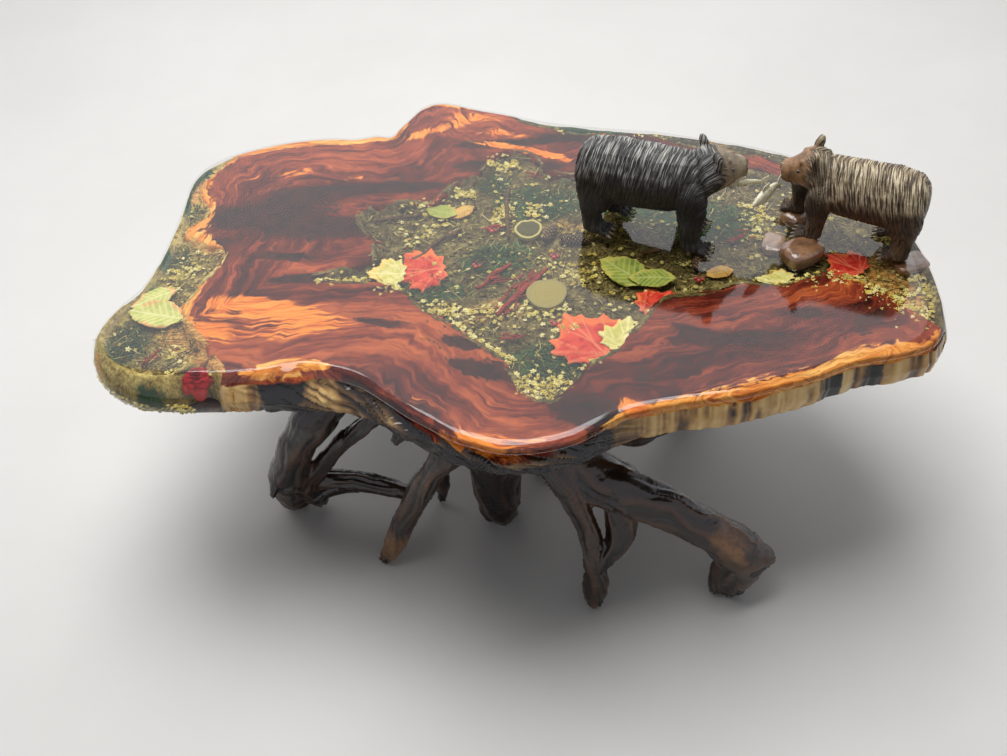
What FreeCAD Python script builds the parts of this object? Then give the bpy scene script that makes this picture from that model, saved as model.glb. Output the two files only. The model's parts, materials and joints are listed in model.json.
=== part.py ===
import FreeCAD, Part
import math
import os

from FreeCAD import Vector

# A rustic coffee table: a live-edge burl slab with clear resin cast into its hollows,
# dried leaves and flowers under the resin, two carved bears on the top and a base of roots.
# Millimetres, +Z up, floor at z = 0, origin under the middle of the slab.

# Slab
TABLE_HEIGHT = 460.0
SLAB_LENGTH = 1200.0
SLAB_WIDTH = 806.0
SLAB_THICKNESS = 65.0
CLEAR_COAT = 3.0
UPPER_POUR = 12.0
POOL_FLOOR = 22.0

# Base of roots
BASE_LENGTH = 800.0
BASE_WIDTH = 700.0
ROOT_GIRTH = 60.0
DOWEL_DIAMETER = 10.0
DOWEL_LENGTH = 56.0

# Steel plate between the root crown and the slab, and its screws
PLATE_LENGTH = 330.0
PLATE_WIDTH = 290.0
PLATE_THICKNESS = 6.0
PLATE_CORNER = 22.0
PLATE_HOLE_EDGE = 16.0
LAG_DIAMETER = 8.0
LAG_LENGTH = 25.0
LAG_HEAD_WIDTH = 13.0
LAG_HEAD_HEIGHT = 5.5
LAG_HOLE_CLEARANCE = 0.5
CROWN_SCREW_DIAMETER = 6.0
CROWN_SCREW_LENGTH = 60.0
CROWN_SCREW_HEAD = 12.0
CROWN_SCREW_SPREAD_X = 110.0
CROWN_SCREW_SPREAD_Y = 90.0

# Bears
LEFT_BEAR_LENGTH = 255.0
LEFT_BEAR_HEIGHT = 146.0
LEFT_BEAR_WIDTH = 88.0
RIGHT_BEAR_LENGTH = 212.0
RIGHT_BEAR_HEIGHT = 130.0
RIGHT_BEAR_WIDTH = 82.0
EYE_DIAMETER = 5.0
FISH_LENGTH = 58.0
FISH_DEPTH = 15.0
FISH_FIN_THICKNESS = 2.4
FOOT_PIN_DIAMETER = 6.0
FOOT_PIN_LENGTH = 22.0
PAW_LIFT = 8.0

# Things cast in the resin
LEAF_THICKNESS = 1.4
MAPLE_LEAF_SPAN = 104.0
OVAL_LEAF_LENGTH = 74.0
OVAL_LEAF_WIDTH = 44.0
FLORET_DIAMETER = 9.0
FLORET_HEIGHT = 6.0
FLORET_SPACING = 11.5
TWIG_DIAMETER = 8.0
TWIG_LENGTH = 120.0
BERRY_DIAMETER = 7.0
CONE_LENGTH = 42.0
CONE_DIAMETER = 18.0
SLICE_DIAMETER = 58.0
SLICE_THICKNESS = 7.0
RING_SLICE_DIAMETER = 42.0
MOSS_DIAMETER = 74.0
MOSS_HEIGHT = 5.0
STONE_LENGTH = 62.0
STONE_WIDTH = 48.0
STONE_HEIGHT = 30.0
ROSE_DIAMETER = 46.0
ROSE_HEIGHT = 9.0

# Working values of the model
CUT_OVERRUN = 40.0
FIT_TOLERANCE = 0.02
SPLINE_SPANS = 4
ELLIPSE_POINTS = 8
HEX_SIDES = 6
DOWEL_SEARCH_STEPS = 24

# Heights that follow from those sizes
SLAB_BOTTOM = TABLE_HEIGHT - SLAB_THICKNESS
COAT_BOTTOM = TABLE_HEIGHT - CLEAR_COAT
POUR_LINE = COAT_BOTTOM - UPPER_POUR
POOL_BOTTOM = SLAB_BOTTOM + POOL_FLOOR
CROWN_TOP = SLAB_BOTTOM - PLATE_THICKNESS

# Plan of the slab, from its left tip round by the back, as shares of its length and width.
# The third number is how far the top edge stands in from the widest line, as a share of the thickness.
SLAB_OUTLINE_SHARES = [
    (-0.500, -0.128, 0.34), (-0.494, -0.090, 0.30), (-0.477, -0.047, 0.28), (-0.455, -0.008, 0.24),
    (-0.440, 0.042, 0.20), (-0.430, 0.105, 0.18), (-0.423, 0.170, 0.18), (-0.418, 0.235, 0.18),
    (-0.413, 0.292, 0.18), (-0.398, 0.340, 0.18), (-0.371, 0.376, 0.18), (-0.333, 0.398, 0.17),
    (-0.285, 0.411, 0.15), (-0.238, 0.413, 0.15), (-0.208, 0.407, 0.14), (-0.183, 0.397, 0.12),
    (-0.154, 0.399, 0.10), (-0.136, 0.391, 0.10), (-0.127, 0.412, 0.10), (-0.113, 0.444, 0.12),
    (-0.099, 0.475, 0.14), (-0.083, 0.494, 0.15), (-0.063, 0.499, 0.15), (-0.040, 0.487, 0.15),
    (-0.010, 0.461, 0.15), (0.030, 0.431, 0.15), (0.072, 0.395, 0.15), (0.120, 0.365, 0.15),
    (0.171, 0.339, 0.15), (0.222, 0.316, 0.15), (0.268, 0.286, 0.15), (0.312, 0.255, 0.15),
    (0.356, 0.222, 0.15), (0.400, 0.178, 0.16), (0.442, 0.120, 0.17), (0.473, 0.050, 0.18),
    (0.492, -0.030, 0.20), (0.500, -0.112, 0.20), (0.499, -0.190, 0.20), (0.494, -0.255, 0.20),
    (0.482, -0.318, 0.20), (0.458, -0.361, 0.18), (0.420, -0.377, 0.15), (0.364, -0.385, 0.13),
    (0.320, -0.406, 0.13), (0.277, -0.419, 0.14), (0.235, -0.430, 0.14), (0.192, -0.433, 0.14),
    (0.152, -0.437, 0.14), (0.114, -0.447, 0.15), (0.085, -0.467, 0.16), (0.052, -0.489, 0.16),
    (0.015, -0.498, 0.16), (-0.024, -0.493, 0.16), (-0.056, -0.473, 0.16), (-0.081, -0.453, 0.18),
    (-0.104, -0.425, 0.22), (-0.130, -0.397, 0.30), (-0.158, -0.362, 0.42), (-0.187, -0.332, 0.58),
    (-0.216, -0.318, 0.70), (-0.250, -0.306, 0.72), (-0.292, -0.296, 0.50), (-0.342, -0.286, 0.42),
    (-0.392, -0.276, 0.42), (-0.433, -0.260, 0.42), (-0.466, -0.228, 0.40), (-0.489, -0.184, 0.36),
]

# Levels of the slab's edge: depth below the top as a share of the thickness, then how much of each
# point's top inset applies there, then an even inset of the underside as a share of the thickness.
EDGE_LEVEL_SHARES = [
    (1.00, 0.00, 0.22), (0.88, 0.00, 0.06), (0.55, 0.00, 0.00),
    (0.26, 0.34, 0.00), (0.08, 0.76, 0.00), (0.00, 1.00, 0.00),
]

# Hollows of the slab as plan shares. The pool runs out past the right end, the bays past the edges.
POOL_SHARES = [
    (-0.240, -0.030), (-0.170, -0.004), (-0.158, 0.050), (-0.178, 0.115), (-0.168, 0.155), (-0.120, 0.166),
    (-0.086, 0.150), (-0.055, 0.200), (-0.020, 0.228), (0.012, 0.290), (0.052, 0.278), (0.076, 0.212),
    (0.130, 0.188), (0.210, 0.190), (0.290, 0.172), (0.350, 0.128), (0.420, 0.082), (0.500, 0.060),
    (0.552, 0.000), (0.566, -0.090), (0.566, -0.200), (0.548, -0.300), (0.506, -0.350), (0.470, -0.324),
    (0.444, -0.262), (0.405, -0.190), (0.366, -0.160),
    (0.318, -0.176), (0.270, -0.160), (0.226, -0.178), (0.180, -0.180), (0.150, -0.232), (0.116, -0.290),
    (0.082, -0.316), (0.066, -0.352), (0.034, -0.390), (0.006, -0.366), (-0.014, -0.290), (-0.056, -0.210),
    (-0.100, -0.142), (-0.142, -0.074), (-0.186, -0.052),
]
LEFT_BAY_SHARES = [
    (-0.348, 0.460), (-0.350, 0.372), (-0.378, 0.318), (-0.392, 0.262), (-0.376, 0.196), (-0.402, 0.136),
    (-0.372, 0.100), (-0.346, 0.074), (-0.352, 0.030), (-0.372, -0.022), (-0.386, -0.072), (-0.380, -0.112),
    (-0.356, -0.170), (-0.338, -0.222), (-0.326, -0.262), (-0.322, -0.360), (-0.430, -0.370), (-0.560, -0.240),
    (-0.560, 0.100), (-0.500, 0.400),
]
BACK_BAY_SHARES = [
    (0.034, 0.480), (0.040, 0.408), (0.074, 0.366), (0.116, 0.330), (0.170, 0.318), (0.216, 0.300),
    (0.262, 0.252), (0.310, 0.222), (0.356, 0.184), (0.392, 0.150), (0.440, 0.190), (0.380, 0.330),
    (0.200, 0.440),
]

# Roots as (x, y) shares of the base, z as a share of the crown's height, and radius as a share of the girth.
CROWN_SHARES = [
    (-0.056, -0.204, 0.00, 0.42, 0.42), (-0.058, -0.206, 0.12, 0.54, 0.54), (-0.056, -0.198, 0.40, 0.68, 0.64),
    (-0.044, -0.166, 0.60, 0.96, 0.84), (-0.022, -0.120, 0.78, 1.60, 1.35), (-0.006, -0.078, 0.90, 2.10, 1.80),
    (0.000, -0.060, 1.00, 2.30, 2.00),
]
ROOT_SHARES = {
    "right_root": [
        (0.010, -0.180, 0.74, 0.76), (0.085, -0.338, 0.63, 0.66), (0.170, -0.398, 0.545, 0.58),
        (0.257, -0.433, 0.463, 0.54), (0.335, -0.460, 0.368, 0.56), (0.388, -0.480, 0.247, 0.60),
        (0.385, -0.480, 0.113, 0.42), (0.375, -0.477, 0.00, 0.34),
    ],
    "front_root": [
        (-0.010, -0.200, 0.76, 0.44), (0.042, -0.350, 0.68, 0.38), (0.084, -0.412, 0.54, 0.30),
        (0.106, -0.436, 0.38, 0.25), (0.112, -0.458, 0.25, 0.30), (0.112, -0.474, 0.10, 0.29),
        (0.110, -0.478, 0.00, 0.22),
    ],
    "front_root_brace": [
        (0.152, -0.396, 0.55, 0.36), (0.164, -0.420, 0.47, 0.37), (0.164, -0.444, 0.37, 0.31),
        (0.138, -0.460, 0.28, 0.22), (0.112, -0.462, 0.20, 0.20),
    ],
    "spear_root": [
        (-0.040, -0.210, 0.78, 0.44), (-0.125, -0.300, 0.69, 0.40), (-0.180, -0.306, 0.53, 0.34),
        (-0.232, -0.302, 0.30, 0.31), (-0.276, -0.304, 0.10, 0.25), (-0.302, -0.308, 0.00, 0.14),
    ],
    "left_root": [
        (-0.060, -0.080, 0.86, 0.52), (-0.210, -0.096, 0.80, 0.48), (-0.350, -0.126, 0.67, 0.46),
        (-0.435, -0.136, 0.48, 0.44), (-0.476, -0.126, 0.26, 0.52), (-0.485, -0.108, 0.10, 0.50),
        (-0.485, -0.102, 0.00, 0.34),
    ],
    "left_strut": [
        (-0.070, -0.150, 0.84, 0.28), (-0.190, -0.186, 0.76, 0.23), (-0.284, -0.186, 0.64, 0.21),
        (-0.360, -0.150, 0.45, 0.22), (-0.430, -0.128, 0.24, 0.24), (-0.478, -0.112, 0.13, 0.24),
    ],
    "left_cross_root": [
        (-0.470, -0.110, 0.18, 0.32), (-0.412, -0.118, 0.17, 0.28), (-0.350, -0.134, 0.17, 0.26),
        (-0.290, -0.152, 0.15, 0.25), (-0.246, -0.168, 0.13, 0.23),
    ],
    "hanging_stub": [
        (-0.070, -0.180, 0.90, 0.30), (-0.150, -0.250, 0.87, 0.27), (-0.205, -0.306, 0.83, 0.22),
        (-0.228, -0.330, 0.80, 0.12),
    ],
    "thin_root": [
        (-0.050, -0.130, 0.72, 0.28), (-0.120, -0.130, 0.52, 0.23), (-0.160, -0.140, 0.26, 0.20),
        (-0.178, -0.146, 0.00, 0.16),
    ],
    "centre_back_root": [
        (0.010, -0.080, 0.74, 0.60), (0.030, -0.070, 0.46, 0.52), (0.040, -0.070, 0.20, 0.48),
        (0.040, -0.070, 0.00, 0.40),
    ],
    "back_right_root": [
        (0.050, -0.090, 0.78, 0.54), (0.130, -0.160, 0.59, 0.48), (0.210, -0.168, 0.41, 0.45),
        (0.304, -0.070, 0.25, 0.42), (0.376, 0.095, 0.10, 0.38), (0.404, 0.170, 0.00, 0.28),
    ],
    "back_left_root": [
        (-0.050, 0.000, 0.80, 0.54), (-0.150, 0.090, 0.62, 0.48), (-0.246, 0.210, 0.38, 0.44),
        (-0.322, 0.310, 0.14, 0.40), (-0.346, 0.344, 0.00, 0.32),
    ],
    "back_root": [
        (0.020, 0.020, 0.80, 0.54), (0.040, 0.150, 0.60, 0.46), (0.056, 0.290, 0.32, 0.42),
        (0.064, 0.378, 0.12, 0.40), (0.066, 0.404, 0.00, 0.34),
    ],
}
# What each root is pegged to; the others are pegged to the crown.
ROOT_PARENTS = {"front_root_brace": "right_root", "left_strut": "root_crown", "left_cross_root": "left_root"}
ROOT_SECTION_POINTS = 8
ROOT_LUMP_SHARE = 0.10
ROOT_LOBES = 3
LUMP_TURN = 0.25
ROOT_STEPS = 2

# Bear forms in shares of length (x), width (y) and height (z).
# Body and head rows: x, z of the middle, half width, half height.
BEAR_BODY_SHARES = [
    (-0.500, 0.62, 0.13, 0.10), (-0.480, 0.62, 0.34, 0.24), (-0.420, 0.63, 0.45, 0.33), (-0.280, 0.645, 0.50, 0.355),
    (-0.100, 0.65, 0.49, 0.34), (0.050, 0.66, 0.46, 0.33), (0.140, 0.69, 0.41, 0.30), (0.210, 0.74, 0.28, 0.21),
]
BEAR_HEAD_SHARES = [
    (0.000, 0.00, 0.39, 0.25), (0.070, 0.04, 0.38, 0.24), (0.130, 0.04, 0.34, 0.215), (0.175, 0.005, 0.26, 0.17),
    (0.215, -0.02, 0.21, 0.14), (0.262, -0.03, 0.19, 0.125), (0.292, -0.03, 0.12, 0.08),
]
# Leg rows from the shoulder down: x offset, z, half length along the bear, half width.
BEAR_LEG_SHARES = [
    (0.000, 0.66, 0.075, 0.15), (0.000, 0.46, 0.090, 0.17), (-0.004, 0.24, 0.064, 0.145), (0.004, 0.10, 0.060, 0.145),
    (0.022, 0.035, 0.078, 0.165), (0.022, 0.00, 0.076, 0.155),
]
EAR_PLACE_SHARES = (0.075, 0.28, 0.235)
EAR_RADIUS_SHARE = 0.085
EYE_PLACE_SHARES = (0.166, 0.254, 0.085)
MOUTH_PLACE_SHARES = (0.258, -0.130)
FISH_RING_SHARES = [(-0.50, 0.14), (-0.36, 0.30), (-0.10, 0.50), (0.20, 0.46), (0.40, 0.28), (0.50, 0.08)]
FISH_FLAT_SHARE = 0.62
FISH_FIN_SHARES = [
    [(-0.44, 0.00), (-0.66, 0.62), (-0.60, 0.00), (-0.66, -0.62)],
    [(-0.04, 0.30), (-0.16, 0.92), (0.14, 0.78), (0.20, 0.30)],
]

LEFT_BEAR_PLACE_SHARES = (0.197, -0.007)
LEFT_BEAR_TURN = -27.0
LEFT_BEAR_NECK_SHARES = (0.185, 0.760)
LEFT_BEAR_HEAD_TURN = 40.0
LEFT_BEAR_FEET_SHARES = [(-0.390, -0.30), (0.190, -0.30), (-0.335, 0.30), (0.110, 0.30)]
RIGHT_BEAR_PLACE_SHARES = (0.406, -0.070)
RIGHT_BEAR_TURN = 151.6
RIGHT_BEAR_NECK_SHARES = (0.170, 0.780)
RIGHT_BEAR_HEAD_TURN = 4.0
RIGHT_BEAR_FEET_SHARES = [(-0.405, 0.30), (0.170, 0.32), (-0.330, -0.30), (0.330, -0.32)]
LEFT_FISH_TURN = 147.0
RIGHT_FISH_TURN = 69.0
LEFT_FISH_SHIFT_SHARE = 0.0
RIGHT_FISH_SHIFT_SHARE = 0.40

# Leaf outline from its stem round to its stem again, as shares of the leaf's span: five pointed lobes.
MAPLE_SHARES = [
    (0.00, -0.42), (0.05, -0.30), (0.24, -0.40), (0.22, -0.26), (0.47, -0.20), (0.40, -0.09), (0.55, 0.08),
    (0.36, 0.10), (0.38, 0.26), (0.22, 0.18), (0.14, 0.24), (0.17, 0.42), (0.08, 0.40), (0.00, 0.58),
]
CONE_RING_SHARES = [0.48, 0.80, 1.00, 0.94, 0.70, 0.40]
CONE_TIP_SHARE = 0.8
CONE_GROOVE_SHARE = 0.7
PEBBLE_RING_SHARES = [(0.0, 0.86), (0.3, 1.0), (0.7, 0.9), (1.0, 0.62)]
PEBBLE_POINTS = 7
PEBBLE_LOBES = 3
PEBBLE_WOBBLE_SHARE = 0.07
MOSS_POINTS = 9
MOSS_LOBES = 5
MOSS_WOBBLE_SHARE = 0.14
# Places in the resin as plan shares of the slab, then a turn in degrees, then a size as a share of the kind's own.
RED_LEAF_SHARES = [
    (-0.100, -0.028, 96, 0.86), (0.086, -0.248, 28, 1.06), (0.172, -0.178, -70, 0.66), (0.402, -0.134, 40, 0.62),
]
YELLOW_LEAF_SHARES = [(-0.140, -0.030, 80, 0.58), (0.128, -0.256, -14, 0.70), (0.316, -0.160, 62, 0.56)]
GREEN_LEAF_SHARES = [(0.142, -0.090, 40, 1.10), (0.172, -0.120, 78, 0.84), (-0.072, 0.132, 66, 0.72)]
ORANGE_LEAF_SHARES = [(0.253, -0.118, 100, 0.50), (-0.046, 0.128, 118, 0.60)]
BAY_LEAF_SHARES = [(-0.420, -0.086, 70, 1.10), (-0.432, -0.046, 110, 0.80)]
FLORET_ROW_SHARES = [
    (-0.228, -0.030, 4, 5), (-0.060, -0.190, -42, 6), (-0.018, -0.290, -62, 5), (0.030, -0.340, 20, 4),
    (0.016, 0.272, 30, 5), (-0.040, 0.182, -30, 4), (0.020, 0.192, -80, 4), (0.040, -0.170, 10, 4),
    (0.298, 0.050, -78, 6), (0.440, -0.208, -46, 6), (0.470, -0.176, -70, 4), (0.356, -0.146, 30, 3),
]
BAY_FLORET_ROW_SHARES = [(-0.458, -0.212, -22, 6), (-0.420, -0.204, 80, 3), (-0.440, 0.010, 58, 4)]
TWIG_SHARES = [
    (-0.128, 0.134, 4, 0.62), (-0.080, 0.040, 38, 0.80), (0.014, 0.110, 84, 1.00), (0.204, -0.030, 16, 0.75),
]
RED_STICK_SHARES = [(0.016, -0.112, 48, 0.97), (-0.014, -0.066, 40, 0.58)]
CONE_SHARES = [(0.062, 0.036, 60), (0.092, 0.008, -10), (0.232, -0.086, 70)]
STONE_SHARES = [
    (0.352, -0.104, 24, 1.00), (0.326, -0.062, 70, 0.72), (0.366, -0.002, 30, 0.86), (0.472, -0.150, 12, 0.80),
]
MOSS_SHARES = [
    (-0.100, -0.076, 0.78), (-0.010, -0.020, 0.89), (0.000, 0.206, 0.62), (0.064, 0.122, 0.78),
    (0.044, -0.292, 0.81), (0.290, 0.010, 1.00), (0.236, 0.110, 0.84),
]
BAY_MOSS_SHARES = [(-0.452, -0.130, 0.84), (-0.404, 0.220, 0.54), (-0.414, 0.080, 0.60)]
BACK_MOSS_SHARES = [(0.100, 0.362, 0.46), (0.160, 0.336, 0.46), (0.300, 0.250, 0.44)]
BERRY_SHARES = [(-0.034, -0.036), (0.062, -0.032), (0.050, -0.206), (0.226, -0.134), (-0.010, 0.060)]
SLICE_PLACE_SHARES = (0.047, -0.130)
RING_SLICE_PLACE_SHARES = (0.036, 0.052)
ROSE_PLACE_SHARES = (-0.366, -0.236)


def plan(share_x, share_y, z=0.0):
    return Vector(share_x * SLAB_LENGTH, share_y * SLAB_WIDTH, z)


def closed_spline(points):
    knots = [index / len(points) for index in range(len(points) + 1)]
    curve = Part.BSplineCurve()
    curve.interpolate(Points=points, PeriodicFlag=True, Parameters=knots)
    breaks = knots[:-1:SPLINE_SPANS] + knots[-1:]
    return Part.Wire([curve.toShape(start, end) for start, end in zip(breaks, breaks[1:])])


def largest(shape):
    return max(shape.Solids, key=lambda solid: solid.Volume)


def boxes_meet(one, other):
    return one.BoundBox.intersect(other.BoundBox)


def cut_by(shape, tools):
    near = [tool for tool in tools if boxes_meet(shape, tool)]
    if not near:
        return shape
    return shape.cut(near)


def group(shapes):
    return Part.makeCompound([solid for shape in shapes for solid in shape.Solids])


def slice_between(shape, low, high):
    box = shape.BoundBox
    slab = Part.makeBox(
        box.XLength + 2 * CUT_OVERRUN,
        box.YLength + 2 * CUT_OVERRUN,
        high - low,
        Vector(box.XMin - CUT_OVERRUN, box.YMin - CUT_OVERRUN, low),
    )
    return shape.common(slab)


def placed(shape, place, turn=0.0):
    moved = shape.copy()
    moved.rotate(Vector(0, 0, 0), Vector(0, 0, 1), turn)
    moved.translate(place)
    return moved


# The slab and what is cast into it


def inward_normals(points):
    normals = []
    for index in range(len(points)):
        run = points[(index + 1) % len(points)] - points[index - 1]
        normals.append(Vector(run.y, -run.x, 0).normalize())
    return normals


def slab_form():
    widest = [plan(x, y) for x, y, _ in SLAB_OUTLINE_SHARES]
    normals = inward_normals(widest)
    levels = []
    for depth_share, top_share, under_share in EDGE_LEVEL_SHARES:
        ring = []
        for point, normal, row in zip(widest, normals, SLAB_OUTLINE_SHARES):
            inset = (row[2] * top_share + under_share) * SLAB_THICKNESS
            height = TABLE_HEIGHT - depth_share * SLAB_THICKNESS
            ring.append(point + normal * inset + Vector(0, 0, height))
        levels.append(closed_spline(ring))
    return Part.makeLoft(levels, True, True)


def hollow(shares, low):
    outline = closed_spline([plan(x, y, low) for x, y in shares])
    return Part.Face(outline).extrude(Vector(0, 0, TABLE_HEIGHT + CUT_OVERRUN - low))


def leaf_solid(points, thickness):
    edge = Part.makePolygon(points + points[:1])
    return Part.Face(edge).extrude(Vector(0, 0, thickness))


def maple_leaf(span):
    right = [Vector(x * span, y * span, 0) for x, y in MAPLE_SHARES]
    left = [Vector(-point.x, point.y, 0) for point in reversed(right[1:-1])]
    return leaf_solid(right + left, LEAF_THICKNESS)


def oval_leaf(size_share):
    half_length = OVAL_LEAF_LENGTH * size_share / 2
    half_width = OVAL_LEAF_WIDTH * size_share / 2
    stem = Vector(0, -half_length, 0)
    tip = Vector(0, half_length, 0)
    sides = [
        Part.Arc(stem, Vector(half_width, 0, 0), tip).toShape(),
        Part.Arc(tip, Vector(-half_width, 0, 0), stem).toShape(),
    ]
    return Part.Face(Part.Wire(sides)).extrude(Vector(0, 0, LEAF_THICKNESS))


def dome(diameter, height):
    foot = Part.makeCone(diameter / 2, diameter / 3, height)
    return foot.makeFillet(height / 4, [foot.Edges[0]])


def floret_row(count):
    florets = []
    for index in range(count):
        sway = FLORET_SPACING / 4 * (-1) ** index
        place = Vector((index - (count - 1) / 2) * FLORET_SPACING, sway, 0)
        florets.append(placed(dome(FLORET_DIAMETER, FLORET_HEIGHT), place))
    return florets


def half_rod(length, diameter):
    rod = Part.makeCylinder(diameter / 2, length, Vector(-length / 2, 0, 0), Vector(1, 0, 0))
    return slice_between(rod, 0.0, diameter)


def pine_cone():
    pitch = CONE_LENGTH / len(CONE_RING_SHARES)
    profile = [Vector(0, 0, 0)]
    for ring, radius_share in enumerate(CONE_RING_SHARES):
        radius = CONE_DIAMETER / 2 * radius_share
        profile.append(Vector(ring * pitch, 0, radius * CONE_GROOVE_SHARE))
        profile.append(Vector((ring + CONE_TIP_SHARE) * pitch, 0, radius))
    profile.append(Vector(CONE_LENGTH, 0, 0))
    face = Part.Face(Part.makePolygon(profile + profile[:1]))
    cone = face.revolve(Vector(0, 0, 0), Vector(1, 0, 0), 360)
    cone.translate(Vector(-CONE_LENGTH / 2, 0, 0))
    return slice_between(cone, 0.0, CONE_DIAMETER)


def pebble(length, width, height):
    rings = []
    for level_share, size_share in PEBBLE_RING_SHARES:
        points = []
        for index in range(PEBBLE_POINTS):
            angle = 2 * math.pi * index / PEBBLE_POINTS
            wobble = 1 + PEBBLE_WOBBLE_SHARE * math.cos(PEBBLE_LOBES * angle)
            x = length / 2 * size_share * wobble * math.cos(angle)
            y = width / 2 * size_share * wobble * math.sin(angle)
            points.append(Vector(x, y, height * level_share))
        rings.append(closed_spline(points))
    return Part.makeLoft(rings, True, True)


def moss_pad(diameter):
    points = []
    for index in range(MOSS_POINTS):
        angle = 2 * math.pi * index / MOSS_POINTS
        radius = diameter / 2 * (1 - MOSS_WOBBLE_SHARE + MOSS_WOBBLE_SHARE * math.cos(MOSS_LOBES * angle))
        points.append(Vector(radius * math.cos(angle), radius * math.sin(angle), 0))
    return Part.Face(closed_spline(points)).extrude(Vector(0, 0, MOSS_HEIGHT))


def on_pour(shares, shape, turn=0.0, lift=0.0):
    return placed(shape, plan(shares[0], shares[1], POUR_LINE + lift), turn)


def botanicals():
    made = {}
    made["red_maple_leaves"] = [
        on_pour(row, maple_leaf(MAPLE_LEAF_SPAN * row[3]), row[2]) for row in RED_LEAF_SHARES
    ]
    made["yellow_maple_leaves"] = [
        on_pour(row, maple_leaf(MAPLE_LEAF_SPAN * row[3]), row[2], LEAF_THICKNESS) for row in YELLOW_LEAF_SHARES
    ]
    made["green_leaves"] = [
        on_pour(row, oval_leaf(row[3]), row[2], index * LEAF_THICKNESS)
        for index, row in enumerate(GREEN_LEAF_SHARES)
    ]
    made["orange_leaves"] = [on_pour(row, oval_leaf(row[3]), row[2]) for row in ORANGE_LEAF_SHARES]
    made["bay_leaves"] = [
        on_pour(row, oval_leaf(row[3]), row[2], index * LEAF_THICKNESS)
        for index, row in enumerate(BAY_LEAF_SHARES)
    ]
    made["wood_slice"] = [on_pour(SLICE_PLACE_SHARES, Part.makeCylinder(SLICE_DIAMETER / 2, SLICE_THICKNESS))]
    made["dark_wood_slice"] = [
        on_pour(RING_SLICE_PLACE_SHARES, Part.makeCylinder(RING_SLICE_DIAMETER / 2, SLICE_THICKNESS))
    ]
    made["pine_cones"] = [on_pour(row, pine_cone(), row[2]) for row in CONE_SHARES]
    made["red_rose"] = [on_pour(ROSE_PLACE_SHARES, dome(ROSE_DIAMETER, ROSE_HEIGHT))]
    made["red_sticks"] = [
        on_pour(row, half_rod(TWIG_LENGTH * row[3], TWIG_DIAMETER), row[2]) for row in RED_STICK_SHARES
    ]
    made["twigs"] = [on_pour(row, half_rod(TWIG_LENGTH * row[3], TWIG_DIAMETER), row[2]) for row in TWIG_SHARES]
    made["berries"] = [on_pour(row, dome(BERRY_DIAMETER, BERRY_DIAMETER)) for row in BERRY_SHARES]
    made["yellow_flowers"] = [
        on_pour(row, floret, row[2]) for row in FLORET_ROW_SHARES for floret in floret_row(row[3])
    ]
    made["bay_yellow_flowers"] = [
        on_pour(row, floret, row[2]) for row in BAY_FLORET_ROW_SHARES for floret in floret_row(row[3])
    ]
    made["moss"] = [on_pour(row, moss_pad(MOSS_DIAMETER * row[2])) for row in MOSS_SHARES]
    made["bay_moss"] = [on_pour(row, moss_pad(MOSS_DIAMETER * row[2])) for row in BAY_MOSS_SHARES]
    made["back_moss"] = [on_pour(row, moss_pad(MOSS_DIAMETER * row[2])) for row in BACK_MOSS_SHARES]
    return made


def stones():
    return [
        on_pour(row, pebble(STONE_LENGTH * row[3], STONE_WIDTH * row[3], STONE_HEIGHT * row[3]), row[2])
        for row in STONE_SHARES
    ]


def without_overlaps(made, taken):
    clear = {}
    for name, solids in made.items():
        kept = []
        for solid in solids:
            trimmed = cut_by(solid, taken)
            if trimmed.Volume > solid.Volume / 2:
                kept.append(largest(trimmed))
                taken.append(kept[-1])
        clear[name] = kept
    return clear


def kept_inside(shapes, regions):
    kept = []
    for shape in shapes:
        solid = largest(shape)
        middle = solid.CenterOfMass
        region = min(regions.values(), key=lambda upper: upper.distToShape(Part.Vertex(middle))[0])
        box = solid.BoundBox
        corners = [Vector(x, y, middle.z) for x in (box.XMin, box.XMax) for y in (box.YMin, box.YMax)]
        if all(region.isInside(corner, FIT_TOLERANCE, False) for corner in corners):
            kept.append(solid)
            continue
        inside = solid.common(region)
        if inside.Volume > solid.Volume / 2:
            kept.append(largest(inside))
    return kept


# The base of roots


def finer(rows):
    made = []
    for index in range(len(rows) - 1):
        before = rows[max(index - 1, 0)]
        after = rows[min(index + 2, len(rows) - 1)]
        for step in range(ROOT_STEPS):
            made.append(eased(before, rows[index], rows[index + 1], after, step / ROOT_STEPS))
    return made + [rows[-1]]


def eased(before, start, end, after, t):
    weights = (
        (2 * t * t - t - t ** 3) / 2,
        (3 * t ** 3 - 5 * t * t + 2) / 2,
        (4 * t * t + t - 3 * t ** 3) / 2,
        (t ** 3 - t * t) / 2,
    )
    return tuple(
        sum(weight * row[place] for weight, row in zip(weights, (before, start, end, after)))
        for place in range(len(start))
    )


def root_points(rows):
    return [Vector(x * BASE_LENGTH, y * BASE_WIDTH, z * CROWN_TOP) for x, y, z, _ in rows]


def lumpy_section(centre, axis, across, radius_x, radius_y, phase):
    along = axis.cross(across).normalize()
    points = []
    for index in range(ROOT_SECTION_POINTS):
        angle = 2 * math.pi * index / ROOT_SECTION_POINTS
        lump = 1 + ROOT_LUMP_SHARE * math.cos(ROOT_LOBES * angle + phase)
        points.append(
            centre + across * (radius_x * lump * math.cos(angle)) + along * (radius_y * lump * math.sin(angle))
        )
    return closed_spline(points)


def root_limb(shares):
    rows = finer(shares)
    points = root_points(rows)
    sections = []
    across = Vector(0, 0, 1)
    for index, point in enumerate(points):
        before = points[max(index - 1, 0)]
        after = points[min(index + 1, len(points) - 1)]
        axis = Vector(0, 0, -1) if point.z == 0 else (after - before).normalize()
        across = (across - axis * across.dot(axis)).normalize()
        radius = rows[index][3] * ROOT_GIRTH
        sections.append(lumpy_section(point, axis, across, radius, radius, LUMP_TURN * index))
    return Part.makeLoft(sections, True, True)


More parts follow.
